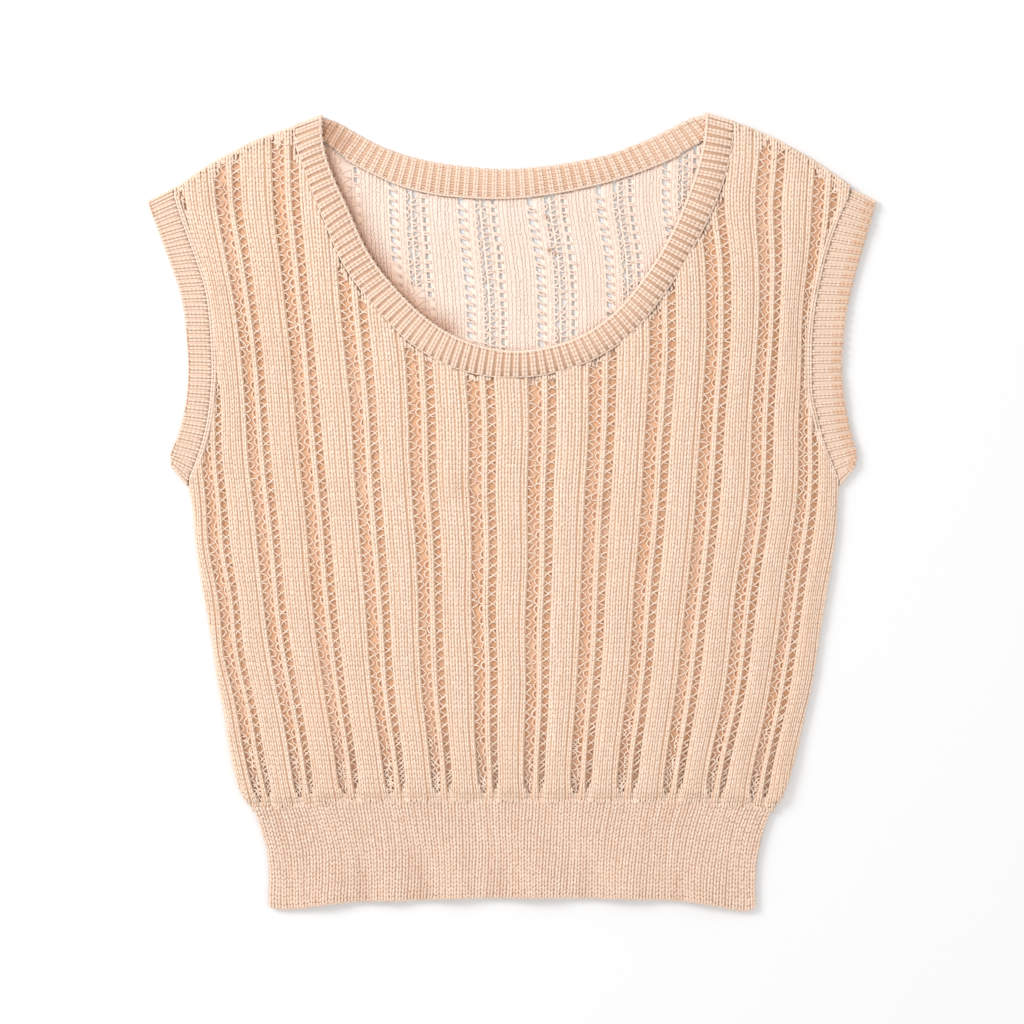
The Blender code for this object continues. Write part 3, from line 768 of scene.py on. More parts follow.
def yarn(name, crown, deep, sheen, bump):
    """Matt cotton yarn: pale on its crowns, warmer and darker in its depths as painted shade, with fibre-fine
    bumps and uneven dye.
    """
    material = bpy.data.materials.new(name)
    material.use_nodes = True
    nodes, links = material.node_tree.nodes, material.node_tree.links
    shader = nodes["Principled BSDF"]
    place = nodes.new("ShaderNodeNewGeometry")

    def attribute(called):
        node = nodes.new("ShaderNodeAttribute")
        node.attribute_name = called
        return node.outputs["Fac"]

    def noise(scale, detail):
        node = nodes.new("ShaderNodeTexNoise")
        set_values(node, {"Scale": scale, "Detail": detail})
        links.new(place.outputs["Position"], node.inputs["Vector"])
        return node.outputs["Fac"]

    def mixed(factor, first, second):
        node = nodes.new("ShaderNodeMix")
        node.data_type = "RGBA"
        links.new(factor, node.inputs["Factor"])
        if isinstance(first, tuple):
            node.inputs["A"].default_value = (*first, 1.0)
        else:
            links.new(first, node.inputs["A"])
        node.inputs["B"].default_value = (*second, 1.0)
        return node.outputs["Result"]

    uneven = nodes.new("ShaderNodeMapRange")
    set_values(uneven, {"From Min": 0.42, "From Max": 0.72, "To Min": 0.0, "To Max": 0.45})
    links.new(noise(22.0, 3.0), uneven.inputs["Value"])
    # The tone blends from the deep colour, which is painted shade, to the crown colour
    blend = mixed(attribute("tone"), deep, crown)
    darker = tuple(colour * share for colour, share in zip(crown, UNEVEN_DYE))
    dyed = mixed(uneven.outputs["Result"], blend, darker)
    # The second attribute mixes in brown: real stains, and painted shade by the neck's edge and in folds
    stained_and_shaded = mixed(attribute("stain_and_shade"), dyed, STAIN_AND_SHADE_COLOUR)
    links.new(stained_and_shaded, shader.inputs["Base Color"])
    relief = nodes.new("ShaderNodeBump")
    set_values(relief, {"Strength": bump, "Distance": 0.0003})
    links.new(noise(1900.0, 2.0), relief.inputs["Height"])
    links.new(relief.outputs["Normal"], shader.inputs["Normal"])
    set_values(shader, {"Roughness": 0.92, "Specular IOR Level": 0.15})
    set_values(shader, {"Sheen Weight": sheen, "Sheen Roughness": 0.6})
    return material


# Each yarn's second colour is the painted shade of its depths
BODY_YARN = yarn("body_yarn", (0.95, 0.790, 0.660), (0.84, 0.55, 0.36), 0.12, 0.35)
BAND_YARN = yarn("band_yarn", (0.93, 0.772, 0.655), (0.76, 0.46, 0.29), 0.15, 0.35)
INNER_YARN = yarn("inner_yarn", (0.915, 0.750, 0.650), (0.90, 0.71, 0.60), 0.15, 0.2)
GROUND_YARN = yarn("ground_yarn", (0.92, 0.68, 0.50), (0.74, 0.46, 0.29), 0.05, 0.5)
# The bands' ground shows in the gutters between their ribs; its dark deep colour is painted shade there
BAND_GROUND_YARN = yarn("band_ground_yarn", (0.93, 0.76, 0.63), (0.60, 0.38, 0.25), 0.05, 0.5)
BACK_GROUND_YARN = yarn("back_ground_yarn", (0.96, 0.79, 0.68), (0.82, 0.485, 0.29), 0.05, 0.5)


# Body panels: the cloth under the stitches is in strips, from place to place in the repeat

GROOVE = 0.775
BROAD_STRIP = (0.325, 0.35, 0.40, 0.47, 0.55, 0.63, 0.70, 0.745, GROOVE, 0.82, 0.865, 0.885)
NARROW_STRIP = (0.078, 0.11, 0.142, 0.174, 0.205)
BACK_SHEET = (
    *NARROW_STRIP, 0.228, 0.302, *BROAD_STRIP[:-1], 0.905, 0.965, 0.998, 1.055, 1.0 + NARROW_STRIP[0],
)
BACK_OPEN = (0.228, GROOVE, 0.905, 0.998)
STRIP_ROWS = 64
STRIP_INSET = 0.3
TOP_LIMIT = 262.0


def strip_grid(strip, place_at, point_at, line):
    """A strip's grid of points, held inside the panel's outline, and its faces."""
    grid = []
    for part in strip:
        def across(y, part=part):
            return ladder_x(place_at(part, y), y)
        heights = np.arange(60.0, TOP_LIMIT, 0.25)
        top = heights[np.argmax(heights >= height_on(line, across(heights)))]
        y = np.linspace(waist_seam(across(-190.0)) + STRIP_INSET, top - STRIP_INSET, STRIP_ROWS)
        points = point_at(part, y)
        points[:, 0] = np.clip(points[:, 0], left_side(y) + STRIP_INSET, right_side(y) - STRIP_INSET)
        grid.append(points)
    grid = np.stack(grid, axis=1)
    steps = np.abs(np.diff(grid[:, :, 0], axis=1))
    wide = np.maximum(steps[:-1], steps[1:]).ravel()
    return grid.reshape(-1, 3), grid_faces(STRIP_ROWS, len(strip))[wide > 0.08]


def drop_unused(points, faces, tones):
    """Leaves out points that no face uses."""
    used = np.unique(faces)
    index = np.full(len(points), -1)
    index[used] = np.arange(len(used))
    return points[used], index[faces], tones[used]


def front_ground():
    """What the front's stitches stand on: the ribs' cloth between the open ladders."""
    parts = []
    for cell in range(-1, LADDERS):
        def place_at(part, y, cell=cell):
            return cell + part

        def point_at(part, y, cell=cell):
            return front_surface(np.full(len(y), cell + part), y) - (0.0, 0.0, GROUND_DEPTH)

        for strip in (BROAD_STRIP, NARROW_STRIP):
            points, faces = strip_grid(strip, place_at, point_at, FRONT_TOP)
            if len(faces):
                part = np.tile(strip, STRIP_ROWS)
                # Painted shade between the stitches: the ground stays near its deep colour, deeper where the
                # rib is low and in the groove
                share = np.where(part == GROOVE, 0.0, rib_share(part))
                parts.append(drop_unused(points, faces, np.clip(0.2 + 0.5 * share, 0, 1)))
    piece = mesh_piece("front_ground", *gather(*parts), GROUND_YARN, "body_knit")
    thicken(piece, 0.45)
    return piece


def inside_panel(x, y, line, neck, margin, droop=0.0):
    keep = (x > left_side(y) + margin) & (x < right_side(y) - margin)
    keep &= (y > waist_seam(x) + margin - droop) & (y < height_on(line, x) - margin)
    near = keep & (y > 70) & (np.abs(x) < 160)
    gap = np.full(x.shape, 99.0)
    gap[near] = distance_to(x[near], y[near], neck)
    return keep & (gap > margin)


def below_shoulder(mesh):
    """Holds a mesh below the shoulders' fold line."""
    points, faces, tones = mesh
    x, y = points[:, 0], points[:, 1]
    points[:, 1] = np.where(on_shoulder(x), np.minimum(y, height_on(FRONT_TOP, x) - 0.3), y)
    return points, faces, tones


def leg_places(cells, parts, start, pitch):
    """The legs' places, heights, leans of -1 or 1, and tones. Two parts of the repeat make a wale."""
    rows = []
    for cell in cells:
        for wale in range(0, len(parts), 2):
            phase = RNG.uniform(-0.5, 0.5)
            for part, lean in zip(parts[wale:wale + 2], (-1.0, 1.0)):
                y = np.arange(start + phase, LEGS_TOP, pitch)
                wiggle = 0.0048 * np.sin(y / RNG.uniform(6.0, 14.0) + RNG.uniform(0, 6.3))
                tone = RNG.normal(0.0, 0.07)
                rows.append(np.stack(np.broadcast_arrays(cell + part + wiggle, y, lean, tone)))
    return np.concatenate(rows, axis=1)


def front_legs(name, cells):
    """The front's knit stitches, as two legs each."""
    closing_parts = column(CLOSING_LEGS, 0)
    parts = (*PANEL_LEGS, *WALE_LEGS, *EDGE_LEGS, *closing_parts)
    place, y, lean, shade = leg_places(cells, parts, FRONT_LEGS_START, COURSE)
    y = y + RNG.normal(0.0, 0.15, len(y))
    place = place + RNG.normal(0.0, 0.0016, len(y))
    x = front_surface(place, y)[:, 0]
    part = place - np.floor(place)
    keep = inside_panel(x, y, FRONT_TOP, NECK_FRONT, 0.4, 1.2 + 1.4 * rib_share(part))
    away = np.abs(part[:, None] - closing_parts)
    near_waist = y < waist_seam(x) + column(CLOSING_LEGS, 1)[away.argmin(axis=1)]
    near_fold = on_shoulder(x) & (height_on(FRONT_TOP, x) - y < 7.5 + 3.0 * np.sin(place * 23.0))
    near_arm = (y > UNDERARM) & (from_sides(x, y) < 4.2)
    near_neck = (y > 80.0) & (np.abs(x) < 150.0)
    near_neck[near_neck] = distance_to(x[near_neck], y[near_neck], NECK_FRONT) < 3.0
    keep &= (away.min(axis=1) > 0.02) | near_waist | near_fold | near_arm | near_neck
    place, y, lean, shade = (values[keep] for values in (place, y, lean, shade))
    normal = front_normals(place, y)
    tilt = lean * LEG_LEAN * RNG.normal(1.0, 0.35, len(y))
    forward = front_surface(place + tilt, y + 0.5) - front_surface(place - tilt, y - 0.5)
    radius = LEG_RADIUS * repeat_width(place, y) * RNG.normal(1.0, 0.07, len(y))
    centre = front_surface(place, y) - normal * LEG_HEIGHT / 2
    tone = np.clip(0.86 + shade + RNG.normal(0.0, 0.05, len(y)), 0.0, 1.0)
    mesh = below_shoulder(legs(centre, forward, normal, COURSE * LEG_OVERLAP, radius, LEG_HEIGHT, tone))
    return mesh_piece(name, *mesh, BODY_YARN, "body_knit")


def body_edges():
    """The stitches that turn from the front to the back, along the sides and over the shoulders."""
    y = np.linspace(WAIST_SEAM_CORNERS + 2.0, UNDERARM - 1.0, 80)
    lines = [(left_side(y) + EDGE_INSET, y), (right_side(y) - EDGE_INSET, y)]
    shoulders = ((FRONT_TOP[0, 0] + 1.5, NECK_CORNERS[0][0]), (NECK_CORNERS[1][0], FRONT_TOP[-1, 0] - 1.5))
    for first, last in shoulders:
        x = np.linspace(first, last, 30)
        lines.append((x, height_on(FRONT_TOP, x) - EDGE_INSET))
    chains = [
        seam_chain(raised(np.column_stack(line), height), EDGE_INSET, 2.8, tone)
        for line in lines for height, tone in EDGE_CHAINS
    ]
    return mesh_piece("front_edges", *gather(*chains), BODY_YARN, "body_knit")


def ladder_paths(surface_point, cells, outline, shape, start, margin, lifts=(0.0,)):
    """Paths of a ladder's yarn up the panel, inside its top line and neck. Each lift adds one more strand."""
    rows, spreads = np.array(shape[0]), shape[1]
    found = []
    for cell in cells:
        for y0 in np.arange(start + RNG.uniform(0, 2), LOOPS_TOP, LOOP_PITCH):
            y0 = y0 + RNG.normal(0.0, 0.25)
            for lift in lifts:
                bends = [RNG.normal(0.0, spread) if spread else 0.0 for spread in spreads]
                part, height, rise = (rows[:, :3] + rows[:, 3:] * bends).T
                found.append(surface_point(cell, part, y0 + (height + lift), rise))
    paths = np.stack(found)
    keep = inside_panel(paths[:, :, 0], paths[:, :, 1], *outline, margin).all(axis=1)
    return paths[keep]


def front_ladders(name, cells):
    """The yarn of the front's open ladders, thicker and doubled where the waistband gathers it."""
    def surface_point(cell, part, y, lift):
        points = front_surface(cell + part, y)
        fall = np.clip((points[:, 2] - FRONT_INSIDE - EDGE_HEIGHT) / LADDER_WALL, 0.0, 1.0)
        points[:, 2] = np.minimum(points[:, 2], FRONT_INSIDE + 1.5) - 0.4 + lift * fall
        return points

    def yarns(paths, radius, tone):
        extra = RNG.uniform(-205.0, -140.0, len(paths)) > paths[:, 0, 1]
        doubled = paths[extra] + np.array([0.0, 0.5 * LOOP_PITCH, -0.15])
        paths = np.concatenate([paths, doubled])
        closeness = gathered(paths[:, 0, 1], 40.0)
        radii = RNG.normal(radius, 0.055, len(paths)) * (1.0 + 0.20 * closeness)
        return tubes(paths, radii, 4, RNG.normal(tone, 0.10, len(paths)) + 0.14 * closeness)

    outline = (FRONT_TOP, NECK_FRONT)
    laid = [ladder_paths(surface_point, cells, outline, *row[:2], 0.3) for row in FRONT_YARNS]
    mesh = gather(*(yarns(paths, *row[2:]) for paths, row in zip(laid, FRONT_YARNS)))
    return mesh_piece(name, *mesh, BODY_YARN, "body_knit")


def back_ground():
    """What the back's stitches stand on. Its ladders and third groove are open where the neck shows them."""
    parts = []
    for cell in range(-1, LADDERS + 2):
        def place_at(part, y, cell=cell):
            return back_place(part, cell, y)

        def point_at(part, y, cell=cell):
            x = ladder_x(back_place(part, cell, y), y)
            return np.stack([x, y, BACK_TOP_FACE - inner_drop(x, y)], axis=1)

        points, faces = strip_grid(BACK_SHEET, place_at, point_at, BACK_TOP)
        if not len(faces):
            continue
        faces = faces[:, ::-1]
        x, y = points[:, 0], points[:, 1]
        shown = in_neck(x, y, -7.0)
        first = np.array(BACK_SHEET)[faces.min(axis=1) % len(BACK_SHEET)]
        beside = y > 110.0
        beside[beside] = distance_to(x[beside], y[beside], NECK_EDGE_LEFT) < 9.0
        open_here = np.isin(first, BACK_OPEN) & shown[faces].all(axis=1) & ~beside[faces].any(axis=1)
        # Painted shade: the back takes its deep colour where the front covers it, a little less deep towards
        # the waist, and its pale colour where the neck shows it
        tones = np.where(shown, 1.0, 0.25 * gathered(y, 45.0))
        parts.append(drop_unused(points, faces[~open_here], tones))
    points, faces, tones = gather(*parts)
    sheet = closed_sheet(points, faces, tones, np.full(len(points), 0.6), 0.5)
    return mesh_piece("back_ground", *sheet, BACK_GROUND_YARN, "body_knit")


def back_legs(name, under):
    """The back's stitches, on its underside or on the inner side that shows through the neck."""
    course = 2.0 * COURSE if under else COURSE
    parts = (*PANEL_LEGS, *WALE_LEGS, *BACK_EDGE_LEGS)
    place, y, lean, shade = leg_places(range(-1, LADDERS + 2), parts, BACK_LEGS_START, course)
    y = y + RNG.normal(0.0, 0.15, len(y))
    cell = np.floor(place)
    part = place - cell + RNG.normal(0.0, 0.003, len(y))
    spot = back_place(part, cell, y)
    x = ladder_x(spot, y)
    keep = inside_panel(x, y, BACK_TOP, NECK_BACK, 0.75)
    if not under:
        keep &= in_neck(x, y, 5.0)
    spot, y, lean, part, x, shade = (values[keep] for values in (spot, y, lean, part, x, shade))
    rise = np.clip(rib_share(part), 0.0, 1.0)
    drop = inner_drop(x, y)
    z = 0.62 - 0.12 * rise - 0.45 * drop if under else BACK_TOP_FACE - 0.15 + 0.15 * rise - drop
    centre = np.stack([x, y, z], axis=1)
    tilt = lean * LEG_LEAN * RNG.normal(1.0, 0.35, len(y))
    sideways = ladder_x(spot - tilt, y + 0.5) - ladder_x(spot + tilt, y - 0.5)
    ahead = np.stack([sideways, np.ones(len(y)), np.zeros(len(y))], axis=1)
    normal = facing(-1.0 if under else 1.0, len(y))
    radius = LEG_RADIUS * repeat_width(spot, y) * RNG.normal(1.0, 0.05, len(y))
    tone = np.clip(0.86 + shade + RNG.normal(0.0, 0.05, len(y)), 0.0, 1.0)
    if under:
        mesh = legs(centre, ahead, normal, course * 1.3, radius, 0.5, tone, SHORT_SECTIONS)
        return mesh_piece(name, *above_plane(below_shoulder(mesh)), BODY_YARN, "body_knit")
    stitches = legs(centre, ahead, normal, COURSE * LEG_OVERLAP, radius * 1.02, 0.40, tone)
    specks = np.array([row for row in STAINS if row[3] > 0.4])
    count = len(specks)
    slant = np.stack([RNG.normal(0.0, 0.5, count), np.ones(count), np.zeros(count)], axis=1)
    spots = raised(specks[:, :2], BACK_TOP_FACE + 0.15)
    size = specks[:, 2]
    flecks = legs(spots, slant, facing(1.0, count), size * 1.3, size * 0.42, 0.3, 0.2)
    return mesh_piece(name, *gather(stitches, flecks), INNER_YARN, "body_knit")


def back_ladders(name, inside):
    """The yarn of the back's open ladders, thicker on the inner side that shows through the neck."""
    def surface_point(cell, part, y, lift):
        x = ladder_x(back_place(part, cell, y), y)
        z = np.maximum(1.40 + 0.1 * lift - inner_drop(x, y), 0.90) if inside else np.full(len(y), 0.72)
        return np.stack([x, y, z], axis=1)

    def laid(shape, start, radius, tone, bends, lifts):
        cells = range(-1, LADDERS + 2)
        paths = ladder_paths(surface_point, cells, (BACK_TOP, NECK_BACK), shape, start, 0.4, lifts)
        middle = paths[:, paths.shape[1] // 2]
        paths = paths[in_neck(middle[:, 0], middle[:, 1], -4.0) == inside]
        return tubes(paths[:, bends], radius, 4, RNG.normal(tone, 0.06, len(paths)))

    mesh = gather(*(laid(*row) for row in (INSIDE_YARNS if inside else UNDER_YARNS)))
    return mesh_piece(name, *mesh, INNER_YARN if inside else BODY_YARN, "body_knit")


# Waistbands

WAIST_WALES = 80
WAIST_COURSE = 2.75
WAIST_WIDTH = 316.0
WAIST_HEIGHT = 66.0


def waistband_x(y, share):
    left, right = read(WAISTBAND_ROWS, y, 1), read(WAISTBAND_ROWS, y, 2)
    return left + (right - left) * share


def waistband_point(share, upward, front):
    """A point of a waistband's outer face, share across and upward from the hem."""
    share, upward = np.broadcast_arrays(np.asarray(share, float), np.asarray(upward, float))
    low = read(HEM_ROWS, waistband_x(WAISTBAND_ROWS[0][0], share), 1)
    high = waist_seam(waistband_x(WAISTBAND_ROWS[-1][0], share)) - SEAM_GAP / 2
    y = low + (high - low) * upward
    x = waistband_x(y, share)
    if not front:
        return np.stack([x, y, np.zeros(x.shape)], axis=-1)
    waves = sum(height * np.exp(-(((x - middle) / half) ** 2)) for middle, height, half in HEM_WAVES)
    ends = edge_fall(np.minimum(share, 1.0 - share) * WAIST_WIDTH)
    fold = np.minimum(ends, 0.55 + 0.45 * edge_fall(upward * WAIST_HEIGHT))
    lift = waves * smooth(1.0 - upward) ** 1.2
    z = FRONT_INSIDE + lift + EDGE_HEIGHT + (WAISTBAND_WALL - EDGE_HEIGHT) * fold
    return np.stack([x, y, z], axis=-1)


def waistband(name, front):
    """A waistband's ground and its stitches. The front's outer face is up, and the back's is down."""
    def point(share, upward):
        return waistband_point(np.clip(share, 0.0, 1.0), np.clip(upward, 0.0, 1.0), front)

    columns, rows = 81, 16
    upward = np.append(np.linspace(0.004, 0.99, rows - 1), 1.03)
    points = waistband_point(*np.meshgrid(np.linspace(0.001, 0.999, columns), upward), front)
    points[..., 2] = points[..., 2] - 0.6 if front else BACK_TOP_FACE
    points[-1, :, 2] -= 0.9 if front else 0.3
    mesh = (points.reshape(-1, 3), grid_faces(rows, columns), np.full(rows * columns, 0.35))
    ground = mesh_piece(name + "_ground", *mesh, BAND_GROUND_YARN, "rib_knit")
    thicken(ground, 0.55 if front else 0.6)

    courses = int(WAIST_HEIGHT / WAIST_COURSE)
    grid = np.meshgrid(np.arange(WAIST_WALES), (0, 1), np.arange(courses), indexing="ij")
    wale, leg, course = (values.ravel() for values in grid)
    count = len(wale)
    phase = RNG.uniform(-0.16, 0.16, WAIST_WALES)[wale]
    along = np.clip((course + 0.5 + phase + RNG.normal(0, 0.06, count)) / courses, 0.012, 0.988)
    lean = np.where(leg == 0, -1.0, 1.0)
    across = (wale + 0.5 + lean * 0.228 + RNG.normal(0, 0.010, count)) / WAIST_WALES
    swing = 0.0016 * np.sin(along * 5.0 + across * 40.0) + 0.0003 * np.sin(along * 23.0 + wale * 2.4)
    across = np.clip(across + swing, 0.002, 0.998)
    step = 0.00024 * lean * RNG.normal(1.0, 0.4, count)
    ahead = point(across + step, along + 0.006) - point(across - step, along - 0.006)
    centre = point(across, along)
    if front:
        normal = unit(np.cross(point(across + 0.002, along) - point(across - 0.002, along), ahead))
        centre = centre - normal * 0.4
    else:
        normal = facing(-1.0, count)
        centre[:, 2] = 0.62
    radius = WAIST_WIDTH / WAIST_WALES * 0.250 * RNG.normal(1.0, 0.06, count)
    tone = 0.78 + RNG.normal(0.0, 0.05, (WAIST_WALES, 2))[wale, leg] + RNG.normal(0.0, 0.06, count)
    height, sections = (0.84, LEG_SECTIONS) if front else (0.55, SHORT_SECTIONS)
    tone = np.clip(tone, 0, 1)
    mesh = legs(centre, ahead, normal, WAIST_COURSE * LEG_OVERLAP, radius, height, tone, sections)
    edge = waistband_point(np.linspace(0.004, 0.996, 121), 0.0, front)
    edge[:, 1] += 0.35
    edge[:, 2] = edge[:, 2] - 0.75 if front else 0.85
    hem = tubes(edge[None], 0.80, 6, 0.82)
    return ground, mesh_piece(name + "_stitches", *gather(mesh, hem), BAND_YARN, "rib_knit")


# Bands that fold over at their ends

FOLD_STEPS = 6
NECK_COURSE = 2.8
ARM_COURSE = 2.7
NECK_MIDDLES = (NECK_WALL * 1.5 + LAYER_GAP, NECK_WALL / 2)
ARM_MIDDLES = (ARM_WALL * 1.5 + LAYER_GAP, ARM_WALL / 2)


def way_out(row, inner_row):
    """The flat direction in which a band's folded end looks."""
    x, y, edge_x, edge_y = np.subtract(row, inner_row)
    return unit(np.array([x + edge_x, y + edge_y]))


def band_profile(width, wall, crown, top):
    """A closed outline across a band: distance from the seam, and height over the middle of its wall."""
    half = wall / 2

    def face(bulge):
        return [
            (0.4, half * 0.72),
            (width * 0.25, half + 0.75 * bulge),
            (width * 0.5, half + bulge),
            (width * 0.75, half + 0.75 * bulge),
            (width - 0.9, half * 0.86),
            (width - 0.2, half * 0.3),
        ]

    up, down = (crown, 0.0) if top else (0.0, crown)
    return [*((distance, -height) for distance, height in face(down)), *face(up)[::-1]]


def band_sections(front_rows, back_rows, middles, crowns, ends):
    """Sections of a band all the way round: (row, offset, height, normal, crown, is it the front)."""
    radius = (middles[0] - middles[1]) / 2
    centre = (middles[0] + middles[1]) / 2
    placed = []

    def strip(rows, layer, up):
        length = path_length(rows[:, :2])
        start, full = ends[layer]
        for i, row in enumerate(rows):
            along = min(i, len(rows) - 1 - i) / (len(rows) - 1) * length
            crown = crowns[layer] * float(smooth((along - start) / (full - start)))
            placed.append((row, np.zeros(2), middles[layer], (0.0, 0.0, up), crown, up > 0))

    def fold(row, inner_row, down):
        for i in range(1, FOLD_STEPS):
            angle = math.pi * i / FOLD_STEPS
            angle = angle if down else math.pi - angle
            reach = way_out(row, inner_row) * math.sin(angle)
            height = centre + radius * math.cos(angle)
            placed.append((row, reach * radius, height, (*reach, math.cos(angle)), 0.0, down))

    strip(front_rows, 0, 1.0)
    fold(front_rows[-1], front_rows[-2], True)
    strip(back_rows, 1, -1.0)
    fold(front_rows[0], front_rows[1], False)
    return placed


def band_ground(name, placed, wall, tone):
    points = []
    for row, offset, height, normal, crown, front in placed:
        seam, edge = row[:2], row[2:4]
        width = np.linalg.norm(edge - seam)
        across = (edge - seam) / width
        for distance, over in band_profile(width, wall - 1.0, crown, front):
            flat = seam + offset + across * distance + np.array(normal[:2]) * over
            points.append((*flat, height + normal[2] * over))
    size = len(points) // len(placed)
    faces = []
    for i in range(len(placed)):
        start, after = i * size, (i + 1) % len(placed) * size
        for j in range(size):
            k = (j + 1) % size
            faces.append((start + j, start + k, after + k, after + j))
    mesh = (np.array(points), faces, np.full(len(points), tone))
    return mesh_piece(name + "_ground", *mesh, BAND_GROUND_YARN, "rib_knit")


def rib_outline(width, wall, crown, top, both):
    """Where a rib's yarn runs: over the outer face, round the free edge and, if both, back underneath."""
    half = wall / 2
    share = np.linspace(0.0, 1.0, 13)
    bulge = np.sin(share * math.pi) ** 0.8
    up, down = (crown, 0.0) if top else (0.0, crown)
    over = [(0.3 + (width - 1.3) * s, half - 0.35 + up * b - 0.35 * (s < 0.05)) for s, b in zip(share, bulge)]
    edge = [(width - 0.45, half * 0.5), (width - 0.25, 0.0), (width - 0.45, -half * 0.5)]
    under = [(width - 1.3 - (width - 1.6) * s, -half + 0.35 - down * b) for s, b in zip(share, bulge)]
    return np.array(over + edge + (under if both else under[:2]))


def band_ribs(rows, pitch, leg_gap, radius, course, wall, middle, up, crown, ends, both=False, rungs=False):
    """Ribs across one strip of a band, as rows of legs, with rungs in the gutters between them."""
    length = path_length(np.asarray(rows)[:, :2])
    count = round(length / pitch)
    line = evenly_along(rows, 4 * count + 1)
    tangents = unit(np.gradient((line[:, :2] + line[:, 2:4]) / 2, axis=0))
    laid = []

    def lay(index, shift, step, size, tone, across_band):
        tangent = np.array([*tangents[index], 0.0])
        along = index / (4 * count) * length
        grown = float(smooth((min(along, length - along) - ends[0]) / (ends[1] - ends[0])))
        seam, edge = line[index, :2], line[index, 2:4]
        width = np.linalg.norm(edge - seam)
        across = (edge - seam) / width
        outline = rib_outline(width, wall, crown * grown, up > 0, both)
        walk = evenly_along(outline, max(3, 2 * round(path_length(outline) / step) + 1))
        path = np.array([(*(seam + across * d), middle + up * o) for d, o in walk]) + tangent * shift
        for i in range(1, len(path) - 1, 2):
            ahead = path[i + 1] - path[i - 1]
            outward = np.cross(tangent, ahead) * up
            if outward[2] * up < 0 and i < len(path) // 3:
                outward = -outward
            laid.append((path[i], tangent if across_band else ahead, outward, size, tone))

    for rib in range(count):
        for sign in (-1.0, 1.0):
            lay(4 * rib + 2, sign * leg_gap, course, radius, 0.76, False)
        if rungs:
            lay(4 * rib, 0.0, course * 0.62, radius * 0.64, 0.45, True)
    centres, aheads, outs, halves, tones = (np.array(values) for values in zip(*laid))
    aheads, outs = unit(aheads), unit(outs)
    tones = np.clip(tones + RNG.normal(0, 0.05, len(tones)), 0, 1)
    halves = halves * RNG.normal(1.0, 0.05, len(tones))
    sideways = halves < radius * 0.75
    lengths = np.where(sideways, pitch - 2 * leg_gap - 0.6, course * RIB_OVERLAP)
    centres = centres - outs * np.where(sideways, 0.35, 0.05)[:, None]
    centres[:, 2] = np.maximum(centres[:, 2], halves * 0.85 + 0.05)
    lengths = np.minimum(lengths, 2.0 * (centres[:, 2] - 0.05) / np.maximum(np.abs(aheads[:, 2]), 0.05))
    return above_plane(legs(centres, aheads, outs, lengths, halves, halves * RIB_FLATNESS, tones))


def fold_ribs(rows, middles, wall, radius, course):
    """Ribs along a band's two folded ends, one for each angle round the fold."""
    reach = (middles[0] - middles[1]) / 2 + wall / 2 - 0.45
    middle = (middles[0] + middles[1]) / 2
    ends = []
    for row, inner_row in ((rows[0], rows[1]), (rows[-1], rows[-2])):
        direction = way_out(row, inner_row)
        parts = []
        for share in (0.10, 0.33, 0.56, 0.79):
            angle = math.pi * share
            out = np.array([*(direction * math.sin(angle)), math.cos(angle)])
            start, stop = (np.array([*flat, middle]) + out * reach for flat in (row[:2], row[2:4]))
            count = max(2, round(path_length([start, stop]) / course))
            centre = start + (stop - start) * ((np.arange(count) + 0.5) / count)[:, None]
            centre[:, 2] = np.maximum(centre[:, 2], radius + 0.03)
            ahead = np.tile(stop - start, (count, 1))
            tone = np.clip(RNG.normal(0.86, 0.05, count), 0.0, 1.0)
            outs = np.tile(out, (count, 1))
            length, height = course * RIB_OVERLAP, radius * RIB_FLATNESS
            parts.append(legs(centre, ahead, outs, length, radius, height, tone))
        ends.append(above_plane(gather(*parts)))
    return ends


def neckband():
    front_rows = evenly_along(NECK_FRONT_ROWS, 161)
    back_rows = evenly_along(BACK_SEAM_ROWS[::-1], 101)
    ends = ((0.0, 14.0), (CROWN_START, CROWN_FULL))
    placed = band_sections(front_rows, back_rows, NECK_MIDDLES, (NECK_CROWN, NECK_CROWN_BACK), ends)
    ground = band_ground("neckband", placed, NECK_WALL, 0.0)
    top, low = NECK_MIDDLES
    knit = (1.24, NECK_COURSE, NECK_WALL)
    strips = [
        band_ribs(NECK_FRONT_ROWS, 5.8, 0.95, *knit, top, 1.0, NECK_CROWN, ends[0]),
        band_ribs(BACK_SEAM_ROWS, 6.5, 0.85, *knit, low, 1.0, NECK_CROWN_BACK, ends[1], rungs=True),
        band_ribs(BACK_SEAM_ROWS, 6.5, 0.85, *knit, low, -1.0, 0.0, ends[1], rungs=True),
    ]
    folds = fold_ribs(NECK_FRONT_ROWS, NECK_MIDDLES, NECK_WALL, 0.98, NECK_COURSE)
    inner_seam = evenly_along(BACK_SEAM_ROWS, 101)[12:-12, :2]
    edge = front_rows[:, 2:4] + unit(front_rows[:, :2] - front_rows[:, 2:4])
    trims = [
        seam_chain(raised(front_rows[2:-2, :2], top + 0.75), 0.55, 2.6, 0.92),
        seam_chain(raised(inner_seam, low + 1.25), 0.75, 2.6, 0.95),
        tubes(raised(edge, top + 0.55)[None], 0.85, 6, 0.95),
    ]
    return ground, mesh_piece("neckband_ribs", *gather(*strips, *folds, *trims), BAND_YARN, "rib_knit")


